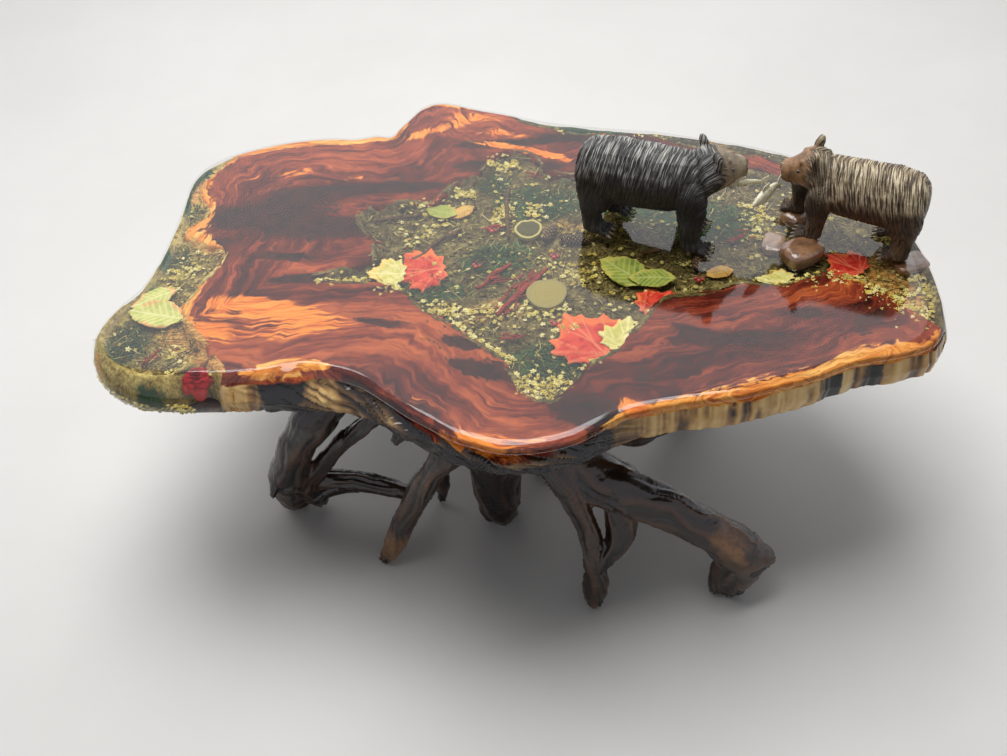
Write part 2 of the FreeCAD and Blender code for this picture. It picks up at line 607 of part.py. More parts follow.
def crown_form():
    sections = []
    for index, (x, y, z, radius_x, radius_y) in enumerate(finer(CROWN_SHARES)):
        centre = Vector(x * BASE_LENGTH, y * BASE_WIDTH, z * CROWN_TOP)
        reach_x = radius_x * ROOT_GIRTH
        reach_y = radius_y * ROOT_GIRTH
        sections.append(lumpy_section(centre, Vector(0, 0, 1), Vector(1, 0, 0), reach_x, reach_y, LUMP_TURN * index))
    return Part.makeLoft(sections, True, True)


def joint_dowel(rows, parent):
    points = root_points(rows)
    for first, second in zip(points, points[1:]):
        for step in range(DOWEL_SEARCH_STEPS):
            point = first + (second - first) * (step / DOWEL_SEARCH_STEPS)
            if not parent.isInside(point, FIT_TOLERANCE, True):
                axis = (second - first).normalize()
                start = point - axis * (DOWEL_LENGTH / 2)
                return Part.makeCylinder(DOWEL_DIAMETER / 2, DOWEL_LENGTH, start, axis)
    raise ValueError("the root never leaves what it is pegged to")


def root_base():
    solids = {"root_crown": crown_form()}
    whole = dict(solids)
    for name, rows in ROOT_SHARES.items():
        whole[name] = root_limb(rows)
        solids[name] = largest(cut_by(whole[name], list(solids.values())))
    dowels = []
    for name, rows in ROOT_SHARES.items():
        dowels.append(joint_dowel(rows, whole[ROOT_PARENTS.get(name, "root_crown")]))
    for name in solids:
        solids[name] = largest(cut_by(solids[name], dowels))
    return solids, dowels


def plate_and_screws():
    plate = Part.makeBox(
        PLATE_LENGTH, PLATE_WIDTH, PLATE_THICKNESS, Vector(-PLATE_LENGTH / 2, -PLATE_WIDTH / 2, CROWN_TOP)
    )
    uprights = [edge for edge in plate.Edges if edge.BoundBox.ZLength > edge.BoundBox.DiagonalLength / 2]
    plate = plate.makeFillet(PLATE_CORNER, uprights)
    crown_middle = Vector(CROWN_SHARES[-1][0] * BASE_LENGTH, CROWN_SHARES[-1][1] * BASE_WIDTH, 0)
    plate.translate(crown_middle)
    reach_x = PLATE_LENGTH / 2 - PLATE_HOLE_EDGE
    reach_y = PLATE_WIDTH / 2 - PLATE_HOLE_EDGE
    lags, lag_holes, crown_screws = [], [], []
    for side_x in (-1, 1):
        for side_y in (-1, 1):
            corner = crown_middle + Vector(side_x * reach_x, side_y * reach_y, CROWN_TOP)
            lags.append(lag_screw(corner))
            hole_radius = LAG_DIAMETER / 2 + LAG_HOLE_CLEARANCE
            lag_holes.append(Part.makeCylinder(hole_radius, PLATE_THICKNESS, corner))
            inner = Vector(side_x * CROWN_SCREW_SPREAD_X / 2, side_y * CROWN_SCREW_SPREAD_Y / 2, SLAB_BOTTOM)
            crown_screws.append(crown_screw(crown_middle + inner))
    return plate.cut(lag_holes + crown_screws), lags, crown_screws


def lag_screw(seat):
    corners = []
    reach = LAG_HEAD_WIDTH / 2 / math.cos(math.pi / HEX_SIDES)
    for index in range(HEX_SIDES):
        angle = 2 * math.pi * index / HEX_SIDES
        corners.append(seat + Vector(reach * math.cos(angle), reach * math.sin(angle), -LAG_HEAD_HEIGHT))
    head = Part.Face(Part.makePolygon(corners + corners[:1])).extrude(Vector(0, 0, LAG_HEAD_HEIGHT))
    shank = Part.makeCylinder(LAG_DIAMETER / 2, LAG_LENGTH, seat)
    return head.fuse(shank).removeSplitter()


def crown_screw(top):
    head_height = (CROWN_SCREW_HEAD - CROWN_SCREW_DIAMETER) / 2
    down = Vector(0, 0, -1)
    head = Part.makeCone(CROWN_SCREW_HEAD / 2, CROWN_SCREW_DIAMETER / 2, head_height, top, down)
    shank = Part.makeCylinder(CROWN_SCREW_DIAMETER / 2, CROWN_SCREW_LENGTH, top, down)
    return head.fuse(shank).removeSplitter()


# The carved bears and their fish


def ellipse_wire(centre, axis, half_across, half_up):
    across = Vector(0, 1, 0)
    up = axis.cross(across)
    points = []
    for index in range(ELLIPSE_POINTS):
        angle = 2 * math.pi * index / ELLIPSE_POINTS
        points.append(centre + across * (half_across * math.cos(angle)) + up * (half_up * math.sin(angle)))
    return closed_spline(points)


def bear_trunk(length, width, height):
    forward = Vector(1, 0, 0)
    rings = [
        ellipse_wire(Vector(x * length, 0, z * height), forward, half_width * width, half_height * height)
        for x, z, half_width, half_height in BEAR_BODY_SHARES
    ]
    return Part.makeLoft(rings, True, False)


def bear_head(length, width, height, neck_shares, turn):
    forward = Vector(1, 0, 0)
    rings = [
        ellipse_wire(Vector(x * length, 0, z * height), forward, half_width * width, half_height * height)
        for x, z, half_width, half_height in BEAR_HEAD_SHARES
    ]
    skull = Part.makeLoft(rings, True, False)
    ear_x, ear_y, ear_z = EAR_PLACE_SHARES
    ears = [
        Part.makeSphere(EAR_RADIUS_SHARE * height, Vector(ear_x * length, side * ear_y * width, ear_z * height))
        for side in (-1, 1)
    ]
    neck = Vector(neck_shares[0] * length, 0, neck_shares[1] * height)
    return [placed(piece, neck, turn) for piece in [skull] + ears]


def bear_eyes(length, width, height, neck_shares, turn):
    eye_x, eye_y, eye_z = EYE_PLACE_SHARES
    neck = Vector(neck_shares[0] * length, 0, neck_shares[1] * height)
    return [
        placed(
            Part.makeSphere(EYE_DIAMETER / 2, Vector(eye_x * length, side * eye_y * width, eye_z * height)),
            neck,
            turn,
        )
        for side in (-1, 1)
    ]


def bear_leg(length, width, height, foot_shares, lift):
    rings = []
    for x, z, half_length, half_width in BEAR_LEG_SHARES:
        centre = Vector((foot_shares[0] + x) * length, foot_shares[1] * width, z * (height - lift) + lift)
        rings.append(ellipse_wire(centre, Vector(0, 0, 1), half_width * width, half_length * length))
    return Part.makeLoft(rings, True, True)


def fish():
    rings = []
    for along_share, depth_share in FISH_RING_SHARES:
        centre = Vector(along_share * FISH_LENGTH, 0, 0)
        half_depth = depth_share * FISH_DEPTH
        rings.append(ellipse_wire(centre, Vector(1, 0, 0), half_depth * FISH_FLAT_SHARE, half_depth))
    body = Part.makeLoft(rings, True, False)
    half_fin = Vector(0, FISH_FIN_THICKNESS / 2, 0)
    fins = []
    for outline_shares in FISH_FIN_SHARES:
        points = [Vector(x * FISH_LENGTH, 0, z * FISH_DEPTH) - half_fin for x, z in outline_shares]
        fins.append(Part.Face(Part.makePolygon(points + points[:1])).extrude(half_fin * 2))
    return body.fuse(fins).removeSplitter()


def bear(length, width, height, feet, lifted, neck_shares, head_turn, fish_turn, fish_shift_share):
    trunk = bear_trunk(length, width, height)
    head = bear_head(length, width, height, neck_shares, head_turn)
    legs = [
        bear_leg(length, width, height, foot, PAW_LIFT if index in lifted else 0.0)
        for index, foot in enumerate(feet)
    ]
    eyes = bear_eyes(length, width, height, neck_shares, head_turn)
    neck = Vector(neck_shares[0] * length, 0, neck_shares[1] * height)
    mouth = Vector(MOUTH_PLACE_SHARES[0] * length, 0, MOUTH_PLACE_SHARES[1] * height)
    shifted = placed(fish(), Vector(fish_shift_share * FISH_LENGTH, 0, 0))
    held_fish = placed(placed(shifted, mouth, fish_turn), neck, head_turn)
    pins = []
    for index, foot in enumerate(feet):
        if index not in lifted:
            middle = Vector(foot[0] * length, foot[1] * width, -FOOT_PIN_LENGTH / 2)
            pins.append(Part.makeCylinder(FOOT_PIN_DIAMETER / 2, FOOT_PIN_LENGTH, middle))
    figure = largest(trunk.fuse(head + legs).cut(eyes + [held_fish] + pins))
    return {"bear": [figure], "eyes": eyes, "fish": [held_fish], "pins": pins}


def stand_bear(pieces, place_shares, turn):
    place = plan(place_shares[0], place_shares[1], TABLE_HEIGHT)
    return {name: [placed(solid, place, turn) for solid in solids] for name, solids in pieces.items()}


def bears():
    left = bear(
        LEFT_BEAR_LENGTH, LEFT_BEAR_WIDTH, LEFT_BEAR_HEIGHT, LEFT_BEAR_FEET_SHARES, [],
        LEFT_BEAR_NECK_SHARES, LEFT_BEAR_HEAD_TURN, LEFT_FISH_TURN, LEFT_FISH_SHIFT_SHARE,
    )
    right = bear(
        RIGHT_BEAR_LENGTH, RIGHT_BEAR_WIDTH, RIGHT_BEAR_HEIGHT, RIGHT_BEAR_FEET_SHARES, [1, 3],
        RIGHT_BEAR_NECK_SHARES, RIGHT_BEAR_HEAD_TURN, RIGHT_FISH_TURN, RIGHT_FISH_SHIFT_SHARE,
    )
    return (
        stand_bear(left, LEFT_BEAR_PLACE_SHARES, LEFT_BEAR_TURN),
        stand_bear(right, RIGHT_BEAR_PLACE_SHARES, RIGHT_BEAR_TURN),
    )


def build():
    nodes = {}
    form = slab_form()
    nodes["clear_top_coat"] = slice_between(form, COAT_BOTTOM, TABLE_HEIGHT)
    blank = slice_between(form, SLAB_BOTTOM, COAT_BOTTOM)
    pool = hollow(POOL_SHARES, POOL_BOTTOM)
    left_bay = hollow(LEFT_BAY_SHARES, SLAB_BOTTOM - CUT_OVERRUN)
    back_bay = hollow(BACK_BAY_SHARES, POOL_BOTTOM)
    plate, lags, crown_screws = plate_and_screws()
    left, right = bears()
    pins = left["pins"] + right["pins"]

    slab = blank.cut([pool, left_bay, back_bay])
    nodes["burl_slab"] = largest(slab).cut(lags)
    rocks = [largest(cut_by(stone, right["bear"] + pins)) for stone in stones()]
    uppers = {}
    for name, region in (("pool", pool), ("left_bay", left_bay), ("back_bay", back_bay)):
        resin = blank.common(region)
        lower = slice_between(resin, SLAB_BOTTOM, POUR_LINE)
        uppers[name] = largest(slice_between(resin, POUR_LINE, COAT_BOTTOM))
        nodes[name + "_lower_pour"] = largest(cut_by(lower, pins))
    laid = {name: kept_inside(shapes, uppers) for name, shapes in botanicals().items()}
    cast = without_overlaps(laid, rocks + pins)
    things = rocks + [solid for solids in cast.values() for solid in solids]
    for name, upper in uppers.items():
        nodes[name + "_upper_pour"] = largest(cut_by(upper, things + pins))
    nodes["clear_top_coat"] = largest(cut_by(nodes["clear_top_coat"], rocks + pins))
    nodes["river_stones"] = group(rocks)
    for name, solids in cast.items():
        nodes[name] = group(solids)

    roots, dowels = root_base()
    roots["root_crown"] = roots["root_crown"].cut(crown_screws)
    nodes.update(roots)
    nodes["root_dowels"] = group(dowels)
    nodes["mounting_plate"] = plate
    nodes["slab_lag_screws"] = group(lags)
    nodes["crown_screws"] = group(crown_screws)

    for side, pieces in (("left", left), ("right", right)):
        nodes[side + "_bear"] = group(pieces["bear"])
        nodes[side + "_bear_eyes"] = group(pieces["eyes"])
        nodes[side + "_bear_fish"] = group(pieces["fish"])
    nodes["bear_foot_pins"] = group(pins)
    return nodes


os.makedirs("parts", exist_ok=True)
for node_name, node_shape in build().items():
    solids = node_shape.Solids
    print(node_name, len(solids), round(node_shape.Volume), node_shape.isValid())
    node_shape.exportStep("parts/" + node_name + ".step")
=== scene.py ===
import json
import math

import bmesh
import bpy
import numpy as np
from mathutils import Matrix, Vector


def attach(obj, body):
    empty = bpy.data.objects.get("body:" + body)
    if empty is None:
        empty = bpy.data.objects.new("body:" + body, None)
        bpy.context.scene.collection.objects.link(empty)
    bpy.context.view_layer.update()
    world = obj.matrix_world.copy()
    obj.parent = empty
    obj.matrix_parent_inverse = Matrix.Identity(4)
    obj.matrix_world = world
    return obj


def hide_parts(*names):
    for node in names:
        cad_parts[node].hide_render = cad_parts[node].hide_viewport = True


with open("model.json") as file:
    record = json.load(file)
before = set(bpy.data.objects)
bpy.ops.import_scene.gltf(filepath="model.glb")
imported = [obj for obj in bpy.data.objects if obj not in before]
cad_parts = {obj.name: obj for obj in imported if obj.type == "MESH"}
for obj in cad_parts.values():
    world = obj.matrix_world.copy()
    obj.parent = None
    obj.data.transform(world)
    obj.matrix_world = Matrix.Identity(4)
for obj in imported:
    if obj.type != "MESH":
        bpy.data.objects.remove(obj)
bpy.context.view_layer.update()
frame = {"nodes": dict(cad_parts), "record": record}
print("frame loaded,", len(frame["nodes"]), "nodes")

tableTop = 0.460
slabLength, slabWidth, slabThickness, coatDepth = 1.200, 0.806, 0.065, 0.003
slabBase = tableTop - slabThickness
woodTop = tableTop - coatDepth
pourLine = woodTop - 0.012  # where the first pour ends and the leaves lie


# numbers on arrays of points

def latticeValues(cells, seed):
    x, y, z = np.moveaxis(cells, -1, 0)
    key = x * 374761393 + y * 668265263 + z * 1442695041 + seed * 974634777
    key = (key ^ (key >> 13)) * 1274126177
    return ((key ^ (key >> 16)) & 65535) / 32767.5 - 1


def softNoise(points, size, seed):  # smooth values from -1 to 1, with features about one size across
    scaled = np.asarray(points, float) / size
    cells = np.floor(scaled).astype(np.int64)
    part = scaled - cells
    part = part * part * (3 - 2 * part)
    total = 0
    for corner in np.ndindex(2, 2, 2):
        weight = np.prod(np.where(np.array(corner) == 1, part, 1 - part), axis=-1)
        total = total + weight * latticeValues(cells + np.array(corner), seed)
    return total


def layeredNoise(points, size, seed):
    total = 0
    for layer in range(4):
        total = total + softNoise(points, size / 2 ** layer, seed + 17 * layer) / 2 ** layer
    return total / 1.6


def ridges(points, size, seed):  # 1 on crests, falling to about -1 between them
    return 1 - 2.4 * np.abs(softNoise(points, size, seed))


def smoothStep(low, high, value):
    t = np.clip((value - low) / (high - low), 0, 1)
    return t * t * (3 - 2 * t)


def unit(rows):
    return rows / np.maximum(np.linalg.norm(rows, axis=-1, keepdims=True), 1e-9)


def spin(degrees, axis="Z"):
    return np.array(Matrix.Rotation(math.radians(degrees), 3, axis))


def splineRun(a, b, c, d, t):
    return (b + t * (c - a) / 2 + t ** 2 * (2 * a - 5 * b + 4 * c - d) / 2
            + t ** 3 * (3 * b - a - 3 * c + d) / 2)


def closedCurve(points, count):  # evenly spaced places on a smooth closed line through the points
    pts = np.asarray(points, float)
    t = np.linspace(0, 1, 24, endpoint=False)[:, None]
    around = zip(np.roll(pts, 1, 0), pts, np.roll(pts, -1, 0), np.roll(pts, -2, 0))
    line = np.vstack([splineRun(a, b, c, d, t) for a, b, c, d in around])
    loop = np.vstack([line, line[:1]])
    reach = np.concatenate([[0], np.cumsum(np.linalg.norm(np.diff(loop[:, :2], axis=0), axis=1))])
    at = np.linspace(0, reach[-1], count, endpoint=False)
    return np.column_stack([np.interp(at, reach, loop[:, k]) for k in range(loop.shape[1])])


def openCurve(points, count):
    pts = np.asarray(points, float)
    padded = np.vstack([2 * pts[0] - pts[1], pts, 2 * pts[-1] - pts[-2]])
    at = np.linspace(0, len(pts) - 1 - 1e-9, count)
    cell = at.astype(int)
    return splineRun(*(padded[cell + k] for k in range(4)), (at - cell)[:, None])


def runDistance(points, start, end):
    run = np.asarray(end, float) - start
    t = np.clip(((points - start) @ run) / max(run @ run, 1e-12), 0, 1)
    return np.linalg.norm(points - start - t[:, None] * run, axis=1)


def lineDistance(points, loop):
    best = np.full(len(points), 9.0)
    for start, end in zip(loop, np.roll(loop, -1, 0)):
        best = np.minimum(best, runDistance(points, start, end))
    return best


def insideLoop(points, loop):
    inside = np.zeros(len(points), bool)
    x, y = points[:, 0], points[:, 1]
    for (x0, y0), (x1, y1) in zip(loop, np.roll(loop, -1, 0)):
        if y0 != y1:
            inside ^= ((y0 > y) != (y1 > y)) & (x < (x1 - x0) * (y - y0) / (y1 - y0) + x0)
    return inside


def depthInside(points, loop):  # metres inside a closed line, negative outside it
    gap = lineDistance(points, loop)
    return np.where(insideLoop(points, loop), gap, -gap)


def patches(points, spots):  # soft rotated spots: x, y, long reach, short reach, turn, strength
    total = np.zeros(len(points))
    for x, y, longReach, shortReach, turn, strength in spots:
        c, s = math.cos(math.radians(turn)), math.sin(math.radians(turn))
        dx, dy = points[:, 0] - x, points[:, 1] - y
        u, v = (dx * c + dy * s) / longReach, (dy * c - dx * s) / shortReach
        total = total + strength * np.exp(-(u * u + v * v))
    return total


def sections(rows, count):  # evenly spread rows between a form's own rows
    rows = np.asarray(rows, float)
    at = np.linspace(0, len(rows) - 1, count)
    steps = np.arange(len(rows))
    return np.column_stack([np.interp(at, steps, column) for column in rows.T])


# meshes

def meshPiece(name, verts, faces, material, marks=None):
    mesh = bpy.data.meshes.new(name)
    mesh.from_pydata(np.asarray(verts).tolist(), [], faces)
    mesh.shade_smooth()
    mesh.materials.append(material)
    piece = bpy.data.objects.new(name, mesh)
    bpy.context.scene.collection.objects.link(piece)
    setMarks(piece, **(marks or {}))
    return piece


def ringFaces(rings, around):  # quads between closed rings of vertices
    starts, steps = np.arange(rings - 1)[:, None] * around, np.arange(around)
    first, turned = starts + steps, starts + np.roll(steps, -1)
    return np.stack([first, turned, turned + around, first + around], -1).reshape(-1, 4).tolist()


def capFaces(around, start, centre, flip=False):
    loop = [(start + k, start + (k + 1) % around) for k in range(around)]
    return [(centre, b, a) if flip else (centre, a, b) for a, b in loop]


def closedFaces(rings, around):  # both ends close on two centre vertices that follow the rings
    last, centre = (rings - 1) * around, rings * around
    ends = capFaces(around, 0, centre, True) + capFaces(around, last, centre + 1)
    return ringFaces(rings, around) + ends


def atHeight(flat, height):
    return np.column_stack([flat, np.broadcast_to(height, len(flat))])


def readMesh(piece):
    co = np.empty(len(piece.data.vertices) * 3)
    piece.data.vertices.foreach_get("co", co)
    normals = np.empty(len(piece.data.vertices) * 3)
    piece.data.vertices.foreach_get("normal", normals)
    return co.reshape(-1, 3), normals.reshape(-1, 3)


def setPlaces(piece, co):
    piece.data.vertices.foreach_set("co", np.asarray(co, np.float32).ravel())
    piece.data.update()


def setMarks(piece, **marks):
    for key, values in marks.items():
        layer = piece.data.attributes.get(key) or piece.data.attributes.new(key, "FLOAT", "POINT")
        layer.data.foreach_set("value", np.asarray(values, np.float32))


def carry(piece, slotName, *nodes):
    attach(piece, "root")
    if nodes:
        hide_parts(*nodes)


def applyModifier(piece, kind, **settings):
    change = piece.modifiers.new(kind.lower(), kind)
    for key, value in settings.items():
        setattr(change, key, value)
    made = bpy.data.meshes.new_from_object(piece.evaluated_get(bpy.context.evaluated_depsgraph_get()))
    piece.modifiers.clear()
    old = piece.data
    piece.data = made
    bpy.data.meshes.remove(old)


def ballShape(across, down):
    ball = bmesh.new()
    bmesh.ops.create_uvsphere(ball, u_segments=across, v_segments=down, radius=1)
    verts = np.array([v.co[:] for v in ball.verts])
    faces = [[v.index for v in f.verts] for f in ball.faces]
    ball.free()
    return verts, faces


def ringAround(angle, side, up):  # directions round a line, a ring for each of its places
    return np.cos(angle)[None, :, None] * side[:, None] + np.sin(angle)[None, :, None] * up[:, None]


class Heap:  # many small shapes gathered into one mesh
    def __init__(self):
        self.verts, self.faces, self.marks, self.count = [], [], {}, 0

    def add(self, verts, faces, **marks):
        self.verts.append(np.asarray(verts, float))
        self.faces += [[k + self.count for k in face] for face in faces]
        for key, value in marks.items():
            self.marks.setdefault(key, []).append(np.broadcast_to(value, len(verts)))
        self.count += len(verts)

    # ellipsoids: centre, three reaches, a turn matrix
    def balls(self, rows, across=18, down=11, **marks):
        verts, faces = ballShape(across, down)
        for centre, reach, turn in rows:
            turned = (verts * np.asarray(reach)) @ np.asarray(turn).T
            self.add(turned + np.asarray(centre), faces, **marks)

    # a bumpy closed stick along x, y, z, radius rows
    def tube(self, points, around, lump, seed, **marks):
        curve = openCurve(points, max(5, len(points) * 7))
        way = unit(np.gradient(curve[:, :3], axis=0))
        side = unit(np.cross(way, (0.13, 0.21, 0.97)))
        up = np.cross(side, way)
        outward = ringAround(np.linspace(0, 2 * math.pi, around, endpoint=False), side, up)
        place = curve[:, None, :3] + outward * curve[:, None, 3:4]
        bumps = 1 + lump * layeredNoise(place, curve[:, 3].max() * 2.2, seed)
        place = curve[:, None, :3] + outward * (curve[:, None, 3] * bumps)[..., None]
        verts = np.vstack([place.reshape(-1, 3), curve[:1, :3], curve[-1:, :3]])
        self.add(verts, closedFaces(len(curve), around), **marks)

    # tapered three-sided blades, all at once
    def strands(self, roots, ways, lengths, girths, bends, **marks):
        rings = 4
        t = np.linspace(0, 1, rings)
        side = unit(np.cross(ways, (0.31, 0.17, 0.93)))
        up = np.cross(side, ways)
        reach = lengths[:, None] * t
        centre = roots[:, None] + ways[:, None] * reach[..., None]
        centre = centre + bends[:, None] * (reach * t)[..., None]
        girth = girths[:, None] * (1 - 0.8 * t)
        spread = ringAround(np.array([0.0, 2.094, 4.189]), side, up)
        verts = centre[:, :, None] + girth[..., None, None] * spread[:, None]
        shift = np.arange(len(roots))[:, None, None] * rings * 3
        quads = np.array(ringFaces(rings, 3))[None] + shift
        ends = np.array([[2, 1, 0], [rings * 3 - 3, rings * 3 - 2, rings * 3 - 1]])[None] + shift
        faces = quads.reshape(-1, 4).tolist() + ends.reshape(-1, 3).tolist()
        repeated = {key: np.repeat(value, rings * 3) for key, value in marks.items()}
        self.add(verts.reshape(-1, 3), faces, **repeated)

    def piece(self, name, material):
        marks = {key: np.concatenate(rows) for key, rows in self.marks.items()}
        return meshPiece(name, np.vstack(self.verts), self.faces, material, marks)


def grownForm(name, rows, voxel, smoothing, material):  # ellipsoids grown together into one skin
    heap = Heap()
    heap.balls(rows)
    piece = heap.piece(name, material)
    applyModifier(piece, "REMESH", mode="VOXEL", voxel_size=voxel, use_smooth_shade=True)
    applyModifier(piece, "SMOOTH", factor=0.5, iterations=smoothing)
    piece.data.shade_smooth()
    return piece


# shader maths

class Sock:  # a shader socket that can be used in sums
    def __init__(self, finish, socket):
        self.finish, self.socket = finish, socket

    def sums(self, operation, *values):
        return self.finish.node("ShaderNodeMath", {"operation": operation}, values)

    def __add__(self, other):
        return self.sums("ADD", self, other)

    def __radd__(self, other):
        return self.sums("ADD", other, self)

    def __sub__(self, other):
        return self.sums("SUBTRACT", self, other)

    def __rsub__(self, other):
        return self.sums("SUBTRACT", other, self)

    def __mul__(self, other):
        return self.sums("MULTIPLY", self, other)

    def __rmul__(self, other):
        return self.sums("MULTIPLY", other, self)

    def between(self, low, high):  # 0 below low, 1 above high, smooth between
        return self.finish.node("ShaderNodeMapRange", {"interpolation_type": "SMOOTHSTEP"},
                                {"Value": self, "From Min": low, "From Max": high})

    def ramp(self, *stops):
        return self.finish.node("ShaderNodeValToRGB", {"stops": stops}, [self])


class Finish:  # one material, or the world, and its nodes
    def __init__(self, name, world=False):
        self.owner = (bpy.data.worlds if world else bpy.data.materials).new(name)
        self.owner.use_nodes = True
        self.tree = self.owner.node_tree
        self.tree.nodes.clear()
        self.out = self.tree.nodes.new("ShaderNodeOutputWorld" if world else "ShaderNodeOutputMaterial")

    def node(self, kind, settings=None, sockets=(), pick=0):
        made = self.tree.nodes.new(kind)
        for key, value in (settings or {}).items():
            if key == "stops":
                self.setStops(made.color_ramp, value)
            else:
                setattr(made, key, value)
        for key, value in sockets.items() if isinstance(sockets, dict) else enumerate(sockets):
            self.feed(made.inputs[key], value)
        return Sock(self, made.outputs[pick])

    def setStops(self, ramp, stops):
        while len(ramp.elements) < len(stops):
            ramp.elements.new(0.5)
        for element, (at, colour) in zip(ramp.elements, stops):
            element.position, element.color = at, (*colour, 1)

    def feed(self, socket, value):
        if isinstance(value, Sock):
            self.tree.links.new(value.socket, socket)
        elif socket.type == "RGBA" and len(value) == 3:
            socket.default_value = (*value, 1)
        else:
            socket.default_value = value

    def marks(self, *keys):
        return [self.node("ShaderNodeAttribute", {"attribute_name": key}, pick="Fac") for key in keys]

    def place(self):
        return self.node("ShaderNodeTexCoord", pick="Object")

    def axis(self, index):
        return self.node("ShaderNodeSeparateXYZ", {}, [self.place()], pick=index)

    def stretched(self, scale, turn=0):
        return self.node("ShaderNodeMapping", {}, {"Vector": self.place(), "Scale": scale,
                                                   "Rotation": (0, 0, math.radians(turn))})

    def noise(self, scale, detail=4, rough=0.55, twist=0, vector=None):
        sockets = {"Vector": vector or self.place(), "Scale": scale, "Detail": detail, "Roughness": rough}
        return self.node("ShaderNodeTexNoise", {}, {**sockets, "Distortion": twist})

    def joined(self, *values):  # three values as one vector
        return self.node("ShaderNodeCombineXYZ", {}, values)

    def mix(self, factor, one, other):
        return self.node("ShaderNodeMix", {"data_type": "RGBA"}, {0: factor, 6: one, 7: other}, pick=2)

    def bump(self, height, strength, distance):
        sockets = {"Height": height, "Strength": strength, "Distance": distance}
        return self.node("ShaderNodeBump", {}, sockets)

    def surface(self, **sockets):
        named = {key[0].upper() + "".join(" " + c if c.isupper() else c for c in key[1:]): value
                 for key, value in sockets.items() if key != "shine"}
        named["Specular IOR Level"] = sockets.get("shine", 0.5)
        return self.node("ShaderNodeBsdfPrincipled", {}, named)

    def done(self, shader):
        self.tree.links.new(shader.socket, self.out.inputs["Surface"])
        return self.owner


def mottledFinish(name, low, high, size, rough=0.6, bump=0.5, coat=0.0, middle=None, shine=0.5):
    f = Finish(name)
    spots = f.noise(size, 6, 0.62, 0.5)
    fine = f.noise(size * 5, 3, 0.6)
    stops = [(0.34, low), (0.5, middle), (0.66, high)] if middle else [(0.36, low), (0.64, high)]
    colour = (spots * 0.7 + fine * 0.3).ramp(*stops)
    return f.done(f.surface(baseColor=colour, roughness=rough, coatWeight=coat, coatRoughness=0.08,
                            shine=shine, normal=f.bump(spots + fine * 0.6, bump, 0.0015)))


# the slab

slabRim = [  # shares of length and width, then the top edge's inset as a share of the thickness
    (-0.500, -0.128, 0.34), (-0.494, -0.090, 0.30), (-0.477, -0.047, 0.28), (-0.455, -0.008, 0.24),
    (-0.440, 0.042, 0.20), (-0.430, 0.105, 0.18), (-0.423, 0.170, 0.18), (-0.418, 0.235, 0.18),
    (-0.413, 0.292, 0.18), (-0.398, 0.340, 0.18), (-0.371, 0.376, 0.18), (-0.333, 0.398, 0.17),
    (-0.285, 0.411, 0.15), (-0.238, 0.413, 0.15), (-0.208, 0.407, 0.14), (-0.183, 0.397, 0.12),
    (-0.154, 0.399, 0.10), (-0.136, 0.391, 0.10), (-0.127, 0.412, 0.10), (-0.113, 0.444, 0.12),
    (-0.099, 0.475, 0.14), (-0.083, 0.494, 0.15), (-0.063, 0.499, 0.15), (-0.040, 0.487, 0.15),
    (-0.010, 0.461, 0.15), (0.030, 0.431, 0.15), (0.072, 0.395, 0.15), (0.120, 0.365, 0.15),
    (0.171, 0.339, 0.15), (0.222, 0.316, 0.15), (0.268, 0.286, 0.15), (0.312, 0.255, 0.15),
    (0.356, 0.222, 0.15), (0.400, 0.178, 0.16), (0.442, 0.120, 0.17), (0.473, 0.050, 0.18),
    (0.492, -0.030, 0.20), (0.500, -0.112, 0.20), (0.499, -0.190, 0.20), (0.494, -0.255, 0.20),
    (0.482, -0.318, 0.20), (0.458, -0.361, 0.18), (0.420, -0.377, 0.15), (0.364, -0.385, 0.13),
    (0.320, -0.406, 0.13), (0.277, -0.419, 0.14), (0.235, -0.430, 0.14), (0.192, -0.433, 0.14),
    (0.152, -0.437, 0.14), (0.114, -0.447, 0.15), (0.085, -0.467, 0.16), (0.052, -0.489, 0.16),
    (0.015, -0.498, 0.16), (-0.024, -0.493, 0.16), (-0.056, -0.473, 0.16), (-0.081, -0.453, 0.18),
    (-0.104, -0.425, 0.22), (-0.130, -0.397, 0.30), (-0.158, -0.362, 0.42), (-0.187, -0.332, 0.58),
    (-0.216, -0.318, 0.70), (-0.250, -0.306, 0.72), (-0.292, -0.296, 0.50), (-0.342, -0.286, 0.42),
    (-0.392, -0.276, 0.42), (-0.433, -0.260, 0.42), (-0.466, -0.228, 0.40), (-0.489, -0.184, 0.36),
]
edgeLevels = [  # depth share, share of the top inset that applies there, even inset of the underside
    (0.00, 1.00, 0.00), (0.08, 0.76, 0.00), (0.26, 0.34, 0.00), (0.55, 0.00, 0.00), (0.88, 0.00, 0.06),
    (1.00, 0.00, 0.22),
]
